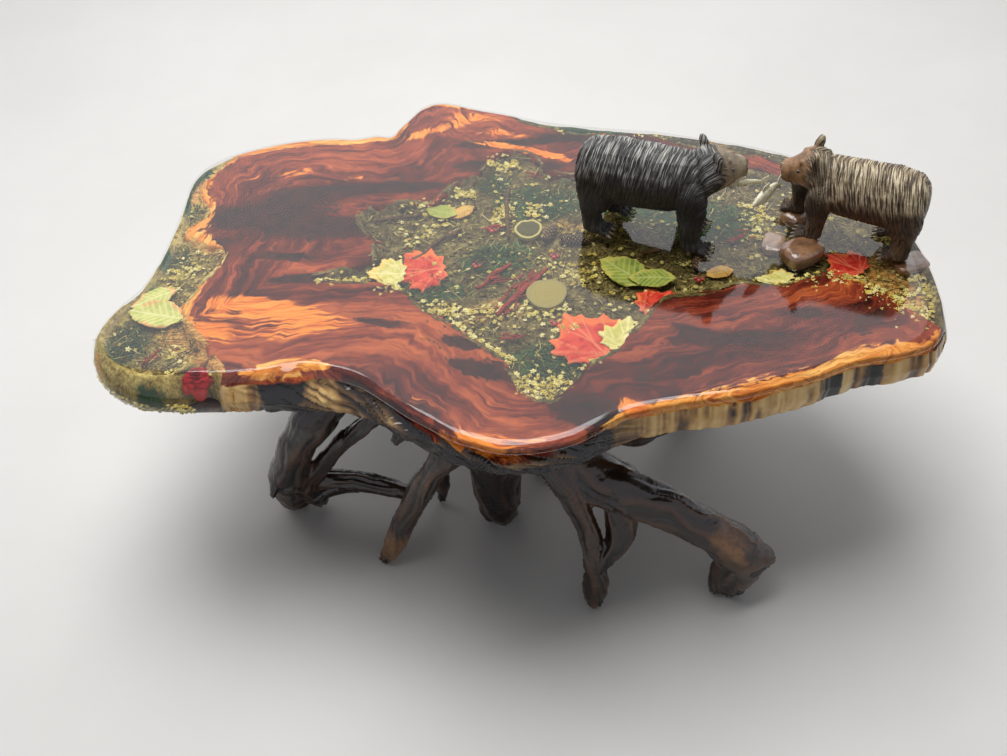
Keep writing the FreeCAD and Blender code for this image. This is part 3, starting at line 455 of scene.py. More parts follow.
hollows = {  # outlines in shares of length and width
    "pool": [
        (-0.240, -0.030), (-0.170, -0.004), (-0.158, 0.050), (-0.178, 0.115), (-0.168, 0.155),
        (-0.120, 0.166), (-0.086, 0.150), (-0.055, 0.200), (-0.020, 0.228), (0.012, 0.290),
        (0.052, 0.278), (0.076, 0.212), (0.130, 0.188), (0.210, 0.190), (0.290, 0.172), (0.350, 0.128),
        (0.420, 0.082), (0.500, 0.060), (0.552, 0.000), (0.566, -0.090), (0.566, -0.200), (0.548, -0.300),
        (0.506, -0.350), (0.470, -0.324), (0.444, -0.262), (0.405, -0.190), (0.366, -0.160),
        (0.318, -0.176), (0.270, -0.160), (0.226, -0.178), (0.180, -0.180), (0.150, -0.232),
        (0.116, -0.290), (0.082, -0.316), (0.066, -0.352), (0.034, -0.390), (0.006, -0.366),
        (-0.014, -0.290), (-0.056, -0.210), (-0.100, -0.142), (-0.142, -0.074), (-0.186, -0.052),
    ],
    "leftBay": [
        (-0.348, 0.460), (-0.350, 0.372), (-0.378, 0.318), (-0.392, 0.262), (-0.376, 0.196),
        (-0.402, 0.136), (-0.372, 0.100), (-0.346, 0.074), (-0.352, 0.030), (-0.372, -0.022),
        (-0.386, -0.072), (-0.380, -0.112), (-0.356, -0.170), (-0.338, -0.222), (-0.326, -0.262),
        (-0.322, -0.360), (-0.430, -0.370), (-0.560, -0.240), (-0.560, 0.100), (-0.500, 0.400),
    ],
    "backBay": [
        (0.034, 0.480), (0.040, 0.408), (0.074, 0.366), (0.116, 0.330), (0.170, 0.318), (0.216, 0.300),
        (0.262, 0.252), (0.310, 0.222), (0.356, 0.184), (0.392, 0.150), (0.440, 0.190), (0.380, 0.330),
        (0.200, 0.440),
    ],
}


def inSlab(rows):
    return np.asarray(rows, float)[:, :2] * (slabLength, slabWidth)


def slabRings(around):
    rows = np.asarray(slabRim, float) * (slabLength, slabWidth, slabThickness)
    curve = closedCurve(rows, around)
    line, inset = curve[:, :2], curve[:, 2]
    run = np.roll(line, -1, 0) - np.roll(line, 1, 0)
    return line, unit(np.column_stack([-run[:, 1], run[:, 0]])), inset


def edgeInset(depthShare, inset):
    levels = np.asarray(edgeLevels)
    topPart = np.interp(depthShare, levels[:, 0], levels[:, 1])
    under = np.interp(depthShare, levels[:, 0], levels[:, 2]) * slabThickness
    return inset * topPart + under


loops = {key: closedCurve(inSlab(rows), 220) for key, rows in hollows.items()}
rimLine, rimOut, rimInset = slabRings(240)
topRim = rimLine - rimOut * rimInset[:, None]

slabLook = {  # the lists are spots for patches()
    "around": 1700,
    "inward": 110,
    "sideLevels": 36,
    "underShares": (0.97, 0.9, 0.75, 0.5, 0.2),
    "poolDepth": 0.030,
    "wallWidth": 0.007,
    "bayFloor": 0.003,
    "dark": [
        (-0.370, 0.140, 0.10, 0.030, -2, 1.1), (-0.280, 0.180, 0.09, 0.020, -6, 1.0),
        (-0.255, 0.085, 0.12, 0.032, -8, 0.9), (-0.320, 0.030, 0.09, 0.012, -12, 0.7),
        (-0.290, -0.026, 0.07, 0.013, -6, 0.8), (-0.144, 0.172, 0.10, 0.020, -8, 0.8),
        (-0.025, 0.264, 0.05, 0.014, -8, 0.9), (0.058, 0.256, 0.05, 0.010, -8, 0.8),
        (0.030, 0.195, 0.12, 0.022, -12, 0.9), (-0.182, -0.135, 0.035, 0.007, -20, 0.9),
        (-0.071, -0.191, 0.03, 0.012, -25, 0.7), (-0.036, -0.251, 0.06, 0.016, -25, 0.9),
        (0.085, -0.335, 0.06, 0.034, -20, 1.1), (0.165, -0.290, 0.025, 0.030, 30, 0.7),
        (0.300, -0.238, 0.09, 0.014, -4, 0.9), (0.239, -0.214, 0.03, 0.012, -30, 0.7),
        (0.150, 0.250, 0.10, 0.016, -20, 0.7), (0.480, -0.225, 0.05, 0.016, 30, 0.6),
        (0.400, -0.205, 0.06, 0.016, -10, 0.6), (-0.430, 0.075, 0.03, 0.02, 0, 0.7),
        (0.260, 0.195, 0.10, 0.012, -20, 0.6),
    ],
    "ember": [
        (-0.385, -0.064, 0.070, 0.020, -10, 1.2), (-0.300, -0.100, 0.085, 0.020, -24, 0.95),
        (-0.425, -0.110, 0.04, 0.030, 0, 0.85), (-0.340, 0.236, 0.08, 0.012, 6, 0.65),
        (-0.233, 0.207, 0.06, 0.010, 4, 0.65), (0.025, 0.250, 0.06, 0.009, -25, 1.1),
        (0.100, 0.210, 0.05, 0.010, -32, 1.1), (-0.105, 0.312, 0.07, 0.014, 15, 0.9),
        (0.018, 0.292, 0.05, 0.014, -20, 0.9), (-0.340, -0.130, 0.10, 0.026, -10, 0.6),
        (-0.060, -0.372, 0.10, 0.018, -14, 1.0), (0.145, -0.342, 0.030, 0.016, -40, 1.2),
        (-0.020, 0.345, 0.06, 0.020, -10, 0.7), (-0.140, -0.290, 0.07, 0.020, -38, 0.6),
        (0.190, 0.250, 0.10, 0.008, -24, 0.8),
    ],
    "sap": [  # where the pale sapwood shows along an edge, and how wide it is there
        (0.310, -0.325, 0.17, 0.050, 6, 0.017), (0.480, -0.275, 0.06, 0.050, 30, 0.022),
        (-0.465, 0.215, 0.04, 0.070, 0, 0.018), (-0.455, 0.110, 0.05, 0.040, 0, 0.017),
        (-0.330, 0.326, 0.12, 0.040, 0, 0.020), (-0.455, -0.055, 0.03, 0.060, 0, 0.012),
        (-0.180, 0.320, 0.06, 0.030, 0, 0.011), (-0.060, 0.395, 0.06, 0.040, 0, 0.006),
        (-0.310, -0.205, 0.05, 0.030, 0, 0.018), (0.200, 0.290, 0.20, 0.050, -20, 0.004),
    ],
    "red": [(-0.140, -0.165, 0.14, 0.07, -35, 0.7), (0.320, -0.245, 0.18, 0.07, 0, -1.1),
            (0.30, 0.22, 0.20, 0.06, -20, -0.8), (-0.360, 0.100, 0.12, 0.06, 0, -0.5),
            (-0.300, -0.150, 0.14, 0.04, -8, 0.9), (-0.180, 0.260, 0.16, 0.05, 0, 1.3),
            (0.020, 0.330, 0.10, 0.03, -20, 0.8), (-0.030, -0.340, 0.10, 0.04, -20, 0.9)],
    "black": [(-0.317, -0.222, 0.035, 0.030, 0, 1.3), (0.085, -0.372, 0.055, 0.024, -10, 1.1),
              (0.407, -0.315, 0.014, 0.03, 0, 1.5), (0.466, -0.292, 0.013, 0.03, 0, 1.2),
              (0.170, -0.365, 0.02, 0.03, 0, 0.6)],
    "gold": [(0.330, -0.330, 0.20, 0.08, 4, 1.5), (-0.255, -0.245, 0.05, 0.020, -30, 0.7),
             (-0.190, -0.285, 0.05, 0.03, -34, 0.35), (0.500, -0.24, 0.10, 0.10, 0, 0.7),
             (-0.375, -0.215, 0.035, 0.03, 0, 1.2)],
    "ropes": [(-0.150, -0.310, 0.20, 0.11, -34, 1.3), (0.020, -0.400, 0.12, 0.06, 0, 0.7)],
    # red wood runs over the edge
    "rolled": [(-0.030, -0.390, 0.11, 0.06, -10, 1.0), (-0.150, -0.300, 0.06, 0.06, 0, 0.5)],
}


def burlWood():
    f = Finish("burlWood")
    ring, dark, ember, sap, red = f.marks("ring", "dark", "ember", "sap", "red")
    side, relief, black, gold = f.marks("side", "relief", "black", "gold")
    x, y = f.axis(0), f.axis(1)
    sway = f.noise(3.0, 5, 0.6, 0.4)
    figure = f.noise(1, 6, 0.62, 0.7, f.joined(ring * 22 + sway * 7, x * 3, y * 3))
    streak = f.noise(1, 6, 0.66, 0.3, f.joined(ring * 120 + sway * 26, x * 9, y * 9))
    pore = f.noise(420, 3, 0.6, 0.4, f.stretched((0.3, 1, 1)))
    feather = f.noise(46, 6, 0.68, 0.8)
    grain = f.noise(1, 3, 0.6, 0.2, f.joined(ring * 380 + sway * 75, x * 15, y * 15))
    tone = figure * 0.48 + streak * 0.40 + feather * 0.12 + red * 0.040
    wood = tone.ramp((0.40, (0.029, 0.006, 0.005)), (0.475, (0.112, 0.0185, 0.0105)),
                     (0.535, (0.265, 0.047, 0.020)), (0.60, (0.48, 0.112, 0.034)))
    blaze = ember + (figure - 0.5) * 1.3 + (streak - 0.5) * 2.4 + (feather - 0.5) * 0.6
    stain = dark * 1.2 + (figure - 0.5) * 2.0 + (streak - 0.5) * 1.4 + (feather - 0.5) * 1.5
    stained = feather.ramp((0.40, (0.010, 0.0065, 0.0065)), (0.60, (0.055, 0.016, 0.011)))
    wood = f.mix(stain.between(0.46, 0.66), wood, stained)
    sapColour = streak.ramp((0.38, (0.46, 0.10, 0.014)), (0.50, (0.76, 0.27, 0.04)),
                            (0.62, (0.92, 0.50, 0.13)))
    pale = (sap + (streak - 0.5) * 1.5 + (feather - 0.5) * 1.4).between(0.42, 0.56)
    wood = f.mix(pale, wood, sapColour)
    wood = f.mix(grain.between(0.50, 0.68) * 0.42, wood, (0.055, 0.010, 0.006))
    glow = (streak * 0.6 + grain * 0.4).ramp((0.42, (0.56, 0.105, 0.014)), (0.56, (0.95, 0.31, 0.045)))
    wood = f.mix(blaze.between(0.50, 0.86), wood, glow)
    wood = f.mix(pore.between(0.60, 0.70) * 0.4, wood, (0.02, 0.006, 0.004))
    fibre = f.noise(60, 5, 0.6)
    tone = relief * 0.74 + fibre * 0.26
    bark = tone.ramp((0.30, (0.004, 0.003, 0.003)), (0.46, (0.030, 0.016, 0.009)),
                     (0.60, (0.15, 0.080, 0.032)), (0.74, (0.44, 0.27, 0.11)))
    golden = tone.ramp((0.30, (0.034, 0.015, 0.006)), (0.44, (0.29, 0.140, 0.042)),
                       (0.60, (0.62, 0.37, 0.120)), (0.76, (0.82, 0.57, 0.24)))
    bark = f.mix((gold + (figure - 0.5) * 0.8).between(0.25, 0.85), bark, golden)
    charred = (black + (fibre - 0.5) * 0.5 + (figure - 0.5) * 0.9).between(0.42, 0.72)
    bark = f.mix(charred, bark, (0.010, 0.0095, 0.010))
    colour = f.mix((side + (streak - 0.5) * 0.6).between(0.38, 0.62), wood, bark)
    bumped = f.bump((relief * 0.5 + fibre * 0.6) * side, 0.6, 0.002)
    return f.done(f.surface(baseColor=colour, roughness=0.5, coatWeight=side, coatRoughness=0.05,
                            shine=0.0, normal=bumped))


def woodHeights(places):
    ragged = layeredNoise(atHeight(places, 0.0), 0.030, 3) * 0.006
    keys = ("pool", "backBay", "leftBay")
    inPool, inBack, inLeft = (depthInside(places, loops[key]) + ragged for key in keys)
    wall = slabLook["wallWidth"]
    hole = np.maximum(smoothStep(0, wall, inPool), smoothStep(0, wall, inBack))
    left = smoothStep(0, wall * 1.6, inLeft)
    height = woodTop - slabLook["poolDepth"] * hole
    return height + (slabBase + slabLook["bayFloor"] - height) * left, left


def makeSlab():
    around, inward = slabLook["around"], slabLook["inward"]
    line, out, inset = slabRings(around)
    topLine = line - out * inset[:, None]
    topPlaces = np.vstack([topLine * share for share in np.linspace(0, 1, inward + 1)[1:]])
    heights, left = woodHeights(topPlaces)
    top = np.column_stack([topPlaces, heights])
    lift = layeredNoise(top, 0.05, 8) * 0.0006
    top[:, 2] += np.where(heights > woodTop - 0.001, -np.abs(lift), lift)
    edgeTop, bayEdge = heights[-around:], left[-around:]
    length = np.linalg.norm(np.roll(line, -1, 0) - line, axis=1)
    reach = np.concatenate([[0], np.cumsum(length)[:-1]])
    ropes = np.clip(patches(line, slabLook["ropes"]), 0, 1)
    rough = 0.0045 + 0.0150 * ropes
    rolled = np.clip(patches(line, slabLook["rolled"]), 0, 1)
    rings, sides, reliefs = [top], [np.zeros(len(top))], [np.full(len(top), 0.5)]
    for depth in np.linspace(0.02, 1, slabLook["sideLevels"]):
        z = edgeTop + (slabBase - edgeTop) * depth
        trueDepth = (tableTop - z) / slabThickness
        lump = layeredNoise(np.column_stack([line, z]), 0.06, 23)
        upright = np.column_stack([line, z * 0.16 + lump * 0.010])
        stripe = 0.6 * ridges(upright, 0.017, 21) + 0.4 * ridges(upright, 0.007, 22)
        slant = z - 0.34 * reach + lump * 0.012
        laid = np.column_stack([slant, reach * 0.10, np.zeros(around)])
        rope = 0.5 * ridges(laid, 0.010, 24) + 0.5 * ridges(laid, 0.0042, 25)
        strip = stripe * (1 - ropes) + rope * ropes
        cut = rough * np.maximum(0.55 - strip * 0.50 + lump * 0.45, 0) * min(1, depth * 4) * (1 - bayEdge)
        place = line - out * (edgeInset(trueDepth, inset) + cut + 0.001)[:, None]
        rings.append(np.column_stack([place, z]))
        sides.append(smoothStep(0.10, 0.34, trueDepth + lump * 0.08 - rolled * (0.22 + 0.10 * strip)))
        shade = 0.40 * np.maximum(ropes, rolled) * smoothStep(0.45, 0.9, trueDepth)
        reliefs.append(np.clip(0.5 + strip * 0.42 + lump * 0.16 - shade, 0, 1))
    for share in slabLook["underShares"]:
        rings.append(atHeight(rings[-1][:, :2] * share, slabBase))
        sides.append(np.ones(around))
        reliefs.append(np.full(around, 0.3))
    verts = np.vstack(rings + [[[0, 0, woodTop - slabLook["poolDepth"]]], [[0, 0, slabBase]]])
    faces = closedFaces(len(verts) // around, around)
    flat = verts[:, :2]
    rim = lineDistance(flat, topLine[::4])
    woodEdge = np.minimum(rim, np.abs(depthInside(flat, loops["leftBay"])))
    width = patches(flat, slabLook["sap"])
    marks = {key: patches(flat, slabLook[key]) for key in ("dark", "ember", "red", "black", "gold")}
    marks["ring"] = rim
    fade = np.clip(1.0 - woodEdge / np.maximum(width, 0.001) * 0.55, -1, 1)
    marks["sap"] = smoothStep(0.001, 0.005, width) * fade
    marks["side"] = np.concatenate([*sides, [0, 1]])
    marks["relief"] = np.concatenate([*reliefs, [0.5, 0.3]])
    carry(meshPiece("burlSlab", verts, faces, burlWood(), marks), "burl_wood", "burl_slab")


coatLook = {  # reaches down the edge are shares of the thickness
    "around": 480,
    "lip": 0.14,
    "bayReach": 0.985,
    "poolReach": 0.60,
    "underside": woodTop - 0.024,
    "bayUnderside": slabBase + 0.0012,
    "colour": (0.97, 0.955, 0.925),
    "roughness": 0.07,
}


def clearResin():
    f = Finish("clearResin")
    ripple = f.bump(f.noise(7, 2, 0.4), 0.05, 0.004)
    glass = f.node("ShaderNodeFresnel", {}, {"IOR": 1.5, "Normal": ripple})
    glass = glass.sums("MINIMUM", glass, 0.34)  # the edge stays clear enough to look into
    front = 1 - f.node("ShaderNodeNewGeometry", pick="Backfacing")
    clear = f.node("ShaderNodeBsdfTransparent", {}, {"Color": coatLook["colour"]})
    sheen = {"Color": (1, 1, 1), "Roughness": coatLook["roughness"], "Normal": ripple}
    gloss = f.node("ShaderNodeBsdfGlossy", {}, sheen)
    return f.done(f.node("ShaderNodeMixShader", {}, [glass * front, clear, gloss]))


def makeClearCoat():
    around = coatLook["around"]
    line, out, inset = slabRings(around)
    probe = line - out * 0.02
    bay, rightEnd, back = (depthInside(probe, loops[key]) for key in ("leftBay", "pool", "backBay"))
    bay = smoothStep(-0.004, 0.010, bay) * coatLook["bayReach"]
    ends = smoothStep(0.0, 0.012, np.maximum(rightEnd, back)) * coatLook["poolReach"]
    reachDown = np.maximum(coatLook["lip"], np.maximum(bay, ends))
    topLine = line - out * inset[:, None]
    rings = [atHeight(topLine * share, tableTop) for share in np.linspace(0.04, 1, 26)]
    for step in (0.03, 0.07, 0.12, 0.18, 0.26, 0.36, 0.48, 0.64, 0.82, 1.0):
        depth = reachDown * step
        place = line - out * edgeInset(depth, inset)[:, None]
        rings.append(atHeight(place, tableTop - depth * slabThickness))
    wall = rings[-1]
    for inwards in (0.006, 0.014):
        rings.append(atHeight(wall[:, :2] - out * inwards, wall[:, 2]))
    for share in np.linspace(0.97, 0.05, 30):
        flat = (wall[:, :2] - out * 0.014) * share
        left = depthInside(flat, loops["leftBay"]) > -0.010
        rings.append(atHeight(flat, np.where(left, coatLook["bayUnderside"], coatLook["underside"])))
    verts = np.vstack(rings + [[[0, 0, tableTop]], [[0, 0, coatLook["underside"]]]])
    verts[:, 2] += softNoise(verts, 0.12, 5) * 0.0002
    coat = meshPiece("clearCoat", verts, closedFaces(len(rings), around), clearResin())
    carry(coat, "clear_resin", "clear_top_coat", "pool_upper_pour", "left_bay_upper_pour",
          "back_bay_upper_pour")


bedLooks = {
    "pool": {"node": "pool_lower_pour", "level": pourLine - 0.004, "skin": 0.0025, "wallReach": 0.58,
             "rough": 0.0035, "low": (0.022, 0.019, 0.010), "middle": (0.125, 0.098, 0.036),
             "high": (0.38, 0.31, 0.12),
             "green": [(-0.090, -0.067, 0.05, 0.022, -10, 1.1), (0.050, 0.115, 0.06, 0.045, 0, 1.2),
                       (-0.008, -0.006, 0.06, 0.036, 0, 1.2), (0.299, 0.026, 0.07, 0.06, 0, 1.1),
                       (0.060, -0.224, 0.08, 0.04, 0, 1.2), (0.20, 0.10, 0.09, 0.05, 0, 1.0)],
             "gold": [(-0.02, -0.12, 0.10, 0.04, 0, 0.6), (0.52, -0.16, 0.06, 0.10, 0, 1.0),
                      (0.10, 0.05, 0.07, 0.04, 0, 0.5)],
             "shade": [(0.24, -0.06, 0.10, 0.04, -20, 0.5)]},
    "leftBay": {"node": "left_bay_lower_pour", "level": pourLine - 0.002, "skin": 0.0034,
                "wallReach": 0.985, "rough": 0.0035,
                # place, reach and depth of the clear edge by the rose
                "clear": [(-0.434, -0.226, 0.026, 0.038)],
                "low": (0.080, 0.058, 0.020), "middle": (0.40, 0.30, 0.085), "high": (0.82, 0.68, 0.26),
                "green": [(-0.540, -0.118, 0.036, 0.04, 0, 1.1), (-0.505, -0.215, 0.03, 0.02, 0, 1.0),
                          (-0.484, 0.194, 0.02, 0.05, 0, 0.9), (-0.47, 0.262, 0.03, 0.03, 0, 0.9),
                          (-0.510, 0.060, 0.02, 0.04, 0, 0.8), (-0.525, -0.030, 0.05, 0.03, 50, 0.6)],
                "gold": [(-0.440, -0.122, 0.065, 0.036, -38, 1.8),
                         (-0.388, -0.160, 0.05, 0.026, -30, 1.8), (-0.378, -0.215, 0.020, 0.03, 0, 1.2),
                         (-0.470, 0.200, 0.016, 0.05, 0, 1.2), (-0.440, 0.078, 0.04, 0.012, -28, 1.2),
                         (-0.585, -0.150, 0.012, 0.03, 0, 1.2)],
                "shade": [(-0.600, -0.120, 0.012, 0.07, 0, 0.9), (-0.455, -0.225, 0.05, 0.02, -10, 0.7),
                          (-0.550, -0.190, 0.03, 0.02, 0, 0.6), (-0.320, -0.225, 0.028, 0.03, 0, 1.3),
                          (-0.47, 0.07, 0.03, 0.02, -20, 0.5)]},
    "backBay": {"node": "back_bay_lower_pour", "level": pourLine - 0.003, "skin": 0.0025,
                "wallReach": 0.58, "rough": 0.003,
                "low": (0.018, 0.018, 0.010), "middle": (0.095, 0.080, 0.028), "high": (0.32, 0.27, 0.10),
                "green": [(0.17, 0.285, 0.12, 0.03, -25, 1.0)],
                "gold": [(0.35, 0.19, 0.06, 0.03, -30, 0.6)], "shade": []},
}
sprays = {  # x, y, turn, length and spread in metres, number of florets
    "pool": [
        (-0.236, -0.028, 2, 0.080, 0.005, 60), (-0.170, -0.064, -10, 0.040, 0.004, 20),
        (-0.086, -0.112, -30, 0.085, 0.010, 70), (-0.041, -0.187, -48, 0.115, 0.005, 80),
        (0.020, -0.130, -4, 0.125, 0.011, 100), (0.074, -0.171, 0, 0.035, 0.008, 26),
        (0.033, -0.279, 0, 0.075, 0.014, 130), (0.099, -0.250, 0, 0.030, 0.008, 18),
        (-0.047, 0.151, -10, 0.035, 0.006, 40), (0.018, 0.211, 0, 0.050, 0.009, 70),
        (0.007, 0.089, 60, 0.050, 0.010, 60), (0.060, 0.087, 80, 0.040, 0.010, 50),
        (0.381, 0.012, 85, 0.085, 0.010, 110), (0.534, -0.199, -40, 0.110, 0.016, 150),
        (0.572, -0.165, -75, 0.100, 0.008, 90), (0.476, -0.138, -20, 0.060, 0.012, 60),
        (0.100, -0.060, 10, 0.090, 0.020, 40), (-0.110, 0.070, 30, 0.080, 0.012, 36),
        (0.395, -0.135, -10, 0.080, 0.010, 40), (-0.110, 0.118, 5, 0.080, 0.008, 36),
    ],
    "leftBay": [(-0.478, 0.020, 45, 0.060, 0.012, 70), (-0.460, -0.160, -60, 0.060, 0.008, 30),
                (-0.495, 0.150, 80, 0.080, 0.005, 30), (-0.565, -0.045, 58, 0.100, 0.005, 50),
                (-0.470, 0.255, 40, 0.050, 0.008, 20)],
    "backBay": [(0.250, 0.255, -28, 0.140, 0.010, 50), (0.110, 0.300, -20, 0.060, 0.010, 20)],
}


def bedFinish(name, look):
    f = Finish(name)
    green, gold, shade, pale = f.marks("green", "gold", "shade", "pale")
    clump, speck = f.noise(34, 6, 0.65, 1.2), f.noise(190, 4, 0.7)
    fibre = f.noise(30, 6, 0.62, 1.0, f.stretched((1, 7, 7), 38))
    tone = clump * 0.55 + speck * 0.45
    colour = tone.ramp((0.36, look["low"]), (0.5, look["middle"]), (0.66, look["high"]))
    moss = tone.ramp((0.36, (0.008, 0.024, 0.010)), (0.52, (0.028, 0.075, 0.028)),
                     (0.66, (0.10, 0.17, 0.05)))
    wood = fibre.ramp((0.34, (0.18, 0.060, 0.014)), (0.48, (0.56, 0.27, 0.062)),
                      (0.62, (0.82, 0.52, 0.17)))
    colour = f.mix((pale * 0.8 + (speck - 0.5) * 1.6).between(0.35, 0.8), colour, (0.58, 0.48, 0.17))
    colour = f.mix((green + (clump - 0.5) * 1.4).between(0.35, 0.7), colour, moss)
    colour = f.mix((gold + (clump - 0.5) * 0.9).between(0.40, 0.7), colour, wood)
    colour = f.mix((shade + (clump - 0.5) * 0.9).between(0.40, 0.7), colour, (0.010, 0.011, 0.010))
    return f.done(f.surface(baseColor=colour, roughness=0.7, shine=0.0,
                            normal=f.bump(clump + speck * 0.5 + fibre * gold, 0.8, 0.004)))


def bedHeights(key, flat):  # the bed climbs to the wood at its own ragged border
    look = bedLooks[key]
    ragged = layeredNoise(atHeight(flat, 0.0), 0.022, 33) * 0.007
    climb = 1 - smoothStep(-0.002, 0.013, depthInside(flat, loops[key]) + ragged)
    return look["level"] + (woodTop + 0.0006 - look["level"]) * climb


def clearSkin(line, look):  # metres of clear resin outside a bed
    skin = np.full(len(line), look["skin"])
    for x, y, reach, depth in look.get("clear", []):
        skin = skin + depth * np.exp(-((line - (x, y)) ** 2).sum(1) / reach ** 2)
    return skin


def makeBed(key, look):
    around, inward, lip = 560, 130, 0.07
    line, out, inset = slabRings(around)
    skin = clearSkin(line, look)
    edge = line - out * (edgeInset(lip, inset) + skin)[:, None]
    rings = [atHeight(edge * share, look["level"]) for share in np.linspace(0.02, 1, inward)]
    for depth in np.linspace(lip, look["wallReach"], 16)[1:]:
        narrowed = skin * min(1, 1.6 - 0.9 * depth)  # less towards the foot
        place = line - out * (edgeInset(depth, inset) + narrowed)[:, None]
        rings.append(atHeight(place, tableTop - depth * slabThickness))
    verts = np.vstack(rings)
    top = np.arange(len(verts)) < inward * around
    # it climbs to the slab's own rim too
    lifted = 1 - smoothStep(0.0, 0.012, lineDistance(verts[top, :2], edge[::3]))
    rimHeight = look["level"] + (tableTop - lip * slabThickness - look["level"]) * lifted
    verts[top, 2] = np.maximum(bedHeights(key, verts[top, :2]), rimHeight)
    verts[:, 2] = np.minimum(verts[:, 2] + layeredNoise(verts, 0.03, 31) * look["rough"],
                             woodTop + 0.0008)
    quads = np.array(ringFaces(len(rings), around))
    keep = depthInside(verts[:, :2], loops[key]) > -0.006
    quads = quads[keep[quads].all(1)]
    used, fresh = np.unique(quads, return_inverse=True)
    verts = verts[used]
    marks = {mark: patches(verts[:, :2], look[mark]) for mark in ("green", "gold", "shade")}
    flecks = [(x, y, 0.45 * reach, 1.6 * width, turn, 0.8)
              for x, y, turn, reach, width, count in sprays[key]]
    marks["pale"] = patches(verts[:, :2], flecks)
    finish = bedFinish(key + "Bed", look)
    bed = meshPiece(key + "Bed", verts, fresh.reshape(-1, 4).tolist(), finish, marks)
    applyModifier(bed, "SOLIDIFY", thickness=0.002, offset=-1)
    carry(bed, "clear_resin", look["node"])


makeSlab()
makeClearCoat()
for bedKey, bedLook in bedLooks.items():
    makeBed(bedKey, bedLook)
print("slab made")


# things laid in the resin

castSeeds = {"litter": 61, "moss": 62, "flowers": 63, "chips": 64}
mapleShares = [  # right half of the outline, from the stem to the tip
    (0.00, -0.42), (0.07, -0.35), (0.24, -0.40), (0.28, -0.30), (0.46, -0.22), (0.42, -0.10),
    (0.53, 0.06), (0.43, 0.10), (0.41, 0.25), (0.29, 0.22), (0.22, 0.29), (0.19, 0.42), (0.11, 0.42),
    (0.00, 0.56),
]
mapleVeins = [((0, -0.40), (0, 0.55)), ((0, -0.32), (0.52, 0.07)), ((0, -0.32), (-0.52, 0.07)),
              ((0, -0.34), (0.44, -0.20)), ((0, -0.34), (-0.44, -0.20)), ((0, -0.10), (0.16, 0.40)),
              ((0, -0.10), (-0.16, 0.40)), ((0.22, -0.10), (0.36, 0.24)), ((-0.22, -0.10), (-0.36, 0.24)),
              ((0, -0.36), (0.22, -0.38)), ((0, -0.36), (-0.22, -0.38))]
ovalShares = [(0.30 * math.sin(math.pi * t) ** 0.8 * (1.12 - 0.24 * t), t - 0.5)
              for t in np.linspace(0, 1, 14)]
sideVeins = (-0.42, -0.31, -0.20, -0.09, 0.02, 0.13, 0.24)
ovalVeins = [((0, -0.5), (0, 0.48))]
ovalVeins += [((0, at), (side * 0.27, at + 0.20)) for side in (-1, 1) for at in sideVeins]
leafLooks = {  # rows: x and y as shares of the slab, turn, span in metres, height above the pour line
    "redLeaves": {
        "shape": "maple", "slot": "red_leaf", "node": "red_maple_leaves",
        "rows": [(-0.100, -0.028, 96, 0.090, 0.003), (0.086, -0.248, 28, 0.110, 0.003),
                 (0.172, -0.178, -70, 0.069, 0.002), (0.402, -0.134, 40, 0.066, 0.004)],
        "body": (0.46, 0.022, 0.018), "blade": (0.66, 0.070, 0.040), "edge": (0.76, 0.17, 0.05),
        "vein": (0.80, 0.26, 0.13),
    },
    "yellowLeaves": {
        "shape": "maple", "slot": "yellow_leaf", "node": "yellow_maple_leaves",
        "rows": [(-0.140, -0.030, 80, 0.062, 0.0055), (0.128, -0.256, -14, 0.074, 0.0055),
                 (0.316, -0.160, 62, 0.060, 0.003)],
        "body": (0.52, 0.50, 0.12), "blade": (0.70, 0.64, 0.24), "edge": (0.80, 0.58, 0.16),
        "vein": (0.86, 0.80, 0.46),
    },
    "greenLeaves": {
        "shape": "oval", "slot": "green_leaf", "node": "green_leaves",
        "rows": [(0.142, -0.090, 40, 0.090, 0.006), (0.172, -0.120, 78, 0.068, 0.008),
                 (-0.072, 0.132, 66, 0.054, 0.006)],
        "body": (0.15, 0.22, 0.035), "blade": (0.29, 0.34, 0.06), "edge": (0.46, 0.42, 0.09),
        "vein": (0.50, 0.52, 0.20),
    },
    "orangeLeaves": {
        "shape": "oval", "slot": "orange_leaf", "node": "orange_leaves",
        "rows": [(0.253, -0.118, 100, 0.042, 0.004), (-0.046, 0.128, 118, 0.045, 0.003)],
        "body": (0.42, 0.22, 0.045), "blade": (0.60, 0.36, 0.09), "edge": (0.66, 0.30, 0.06),
        "vein": (0.74, 0.56, 0.24),
    },
    "bayLeaves": {
        "shape": "oval", "slot": "yellow_leaf", "node": "bay_leaves",
        "rows": [(-0.420, -0.080, 70, 0.092, 0.009), (-0.428, -0.036, 112, 0.070, 0.007)],
        "body": (0.40, 0.46, 0.10), "blade": (0.56, 0.58, 0.18), "edge": (0.70, 0.36, 0.12),
        "vein": (0.78, 0.76, 0.40),
    },
}


def inPlan(shareX, shareY, height=0.0):
    return np.array([shareX * slabLength, shareY * slabWidth, pourLine + height])


def leafFinish(name, look):
    f = Finish(name)
    vein, out = f.marks("vein", "out")
    mottle, blush = f.noise(70, 5, 0.62), f.noise(22, 3, 0.5)
    colour = f.mix(mottle.between(0.38, 0.60), look["body"], look["blade"])
    colour = f.mix((out + (blush - 0.5) * 1.9).between(0.72, 1.05), colour, look["edge"])
    colour = f.mix(vein * 0.7, colour, look["vein"])
    return f.done(f.surface(baseColor=colour, roughness=0.5, shine=0.0,
                            normal=f.bump(vein + mottle * 0.4, 0.5, 0.001)))


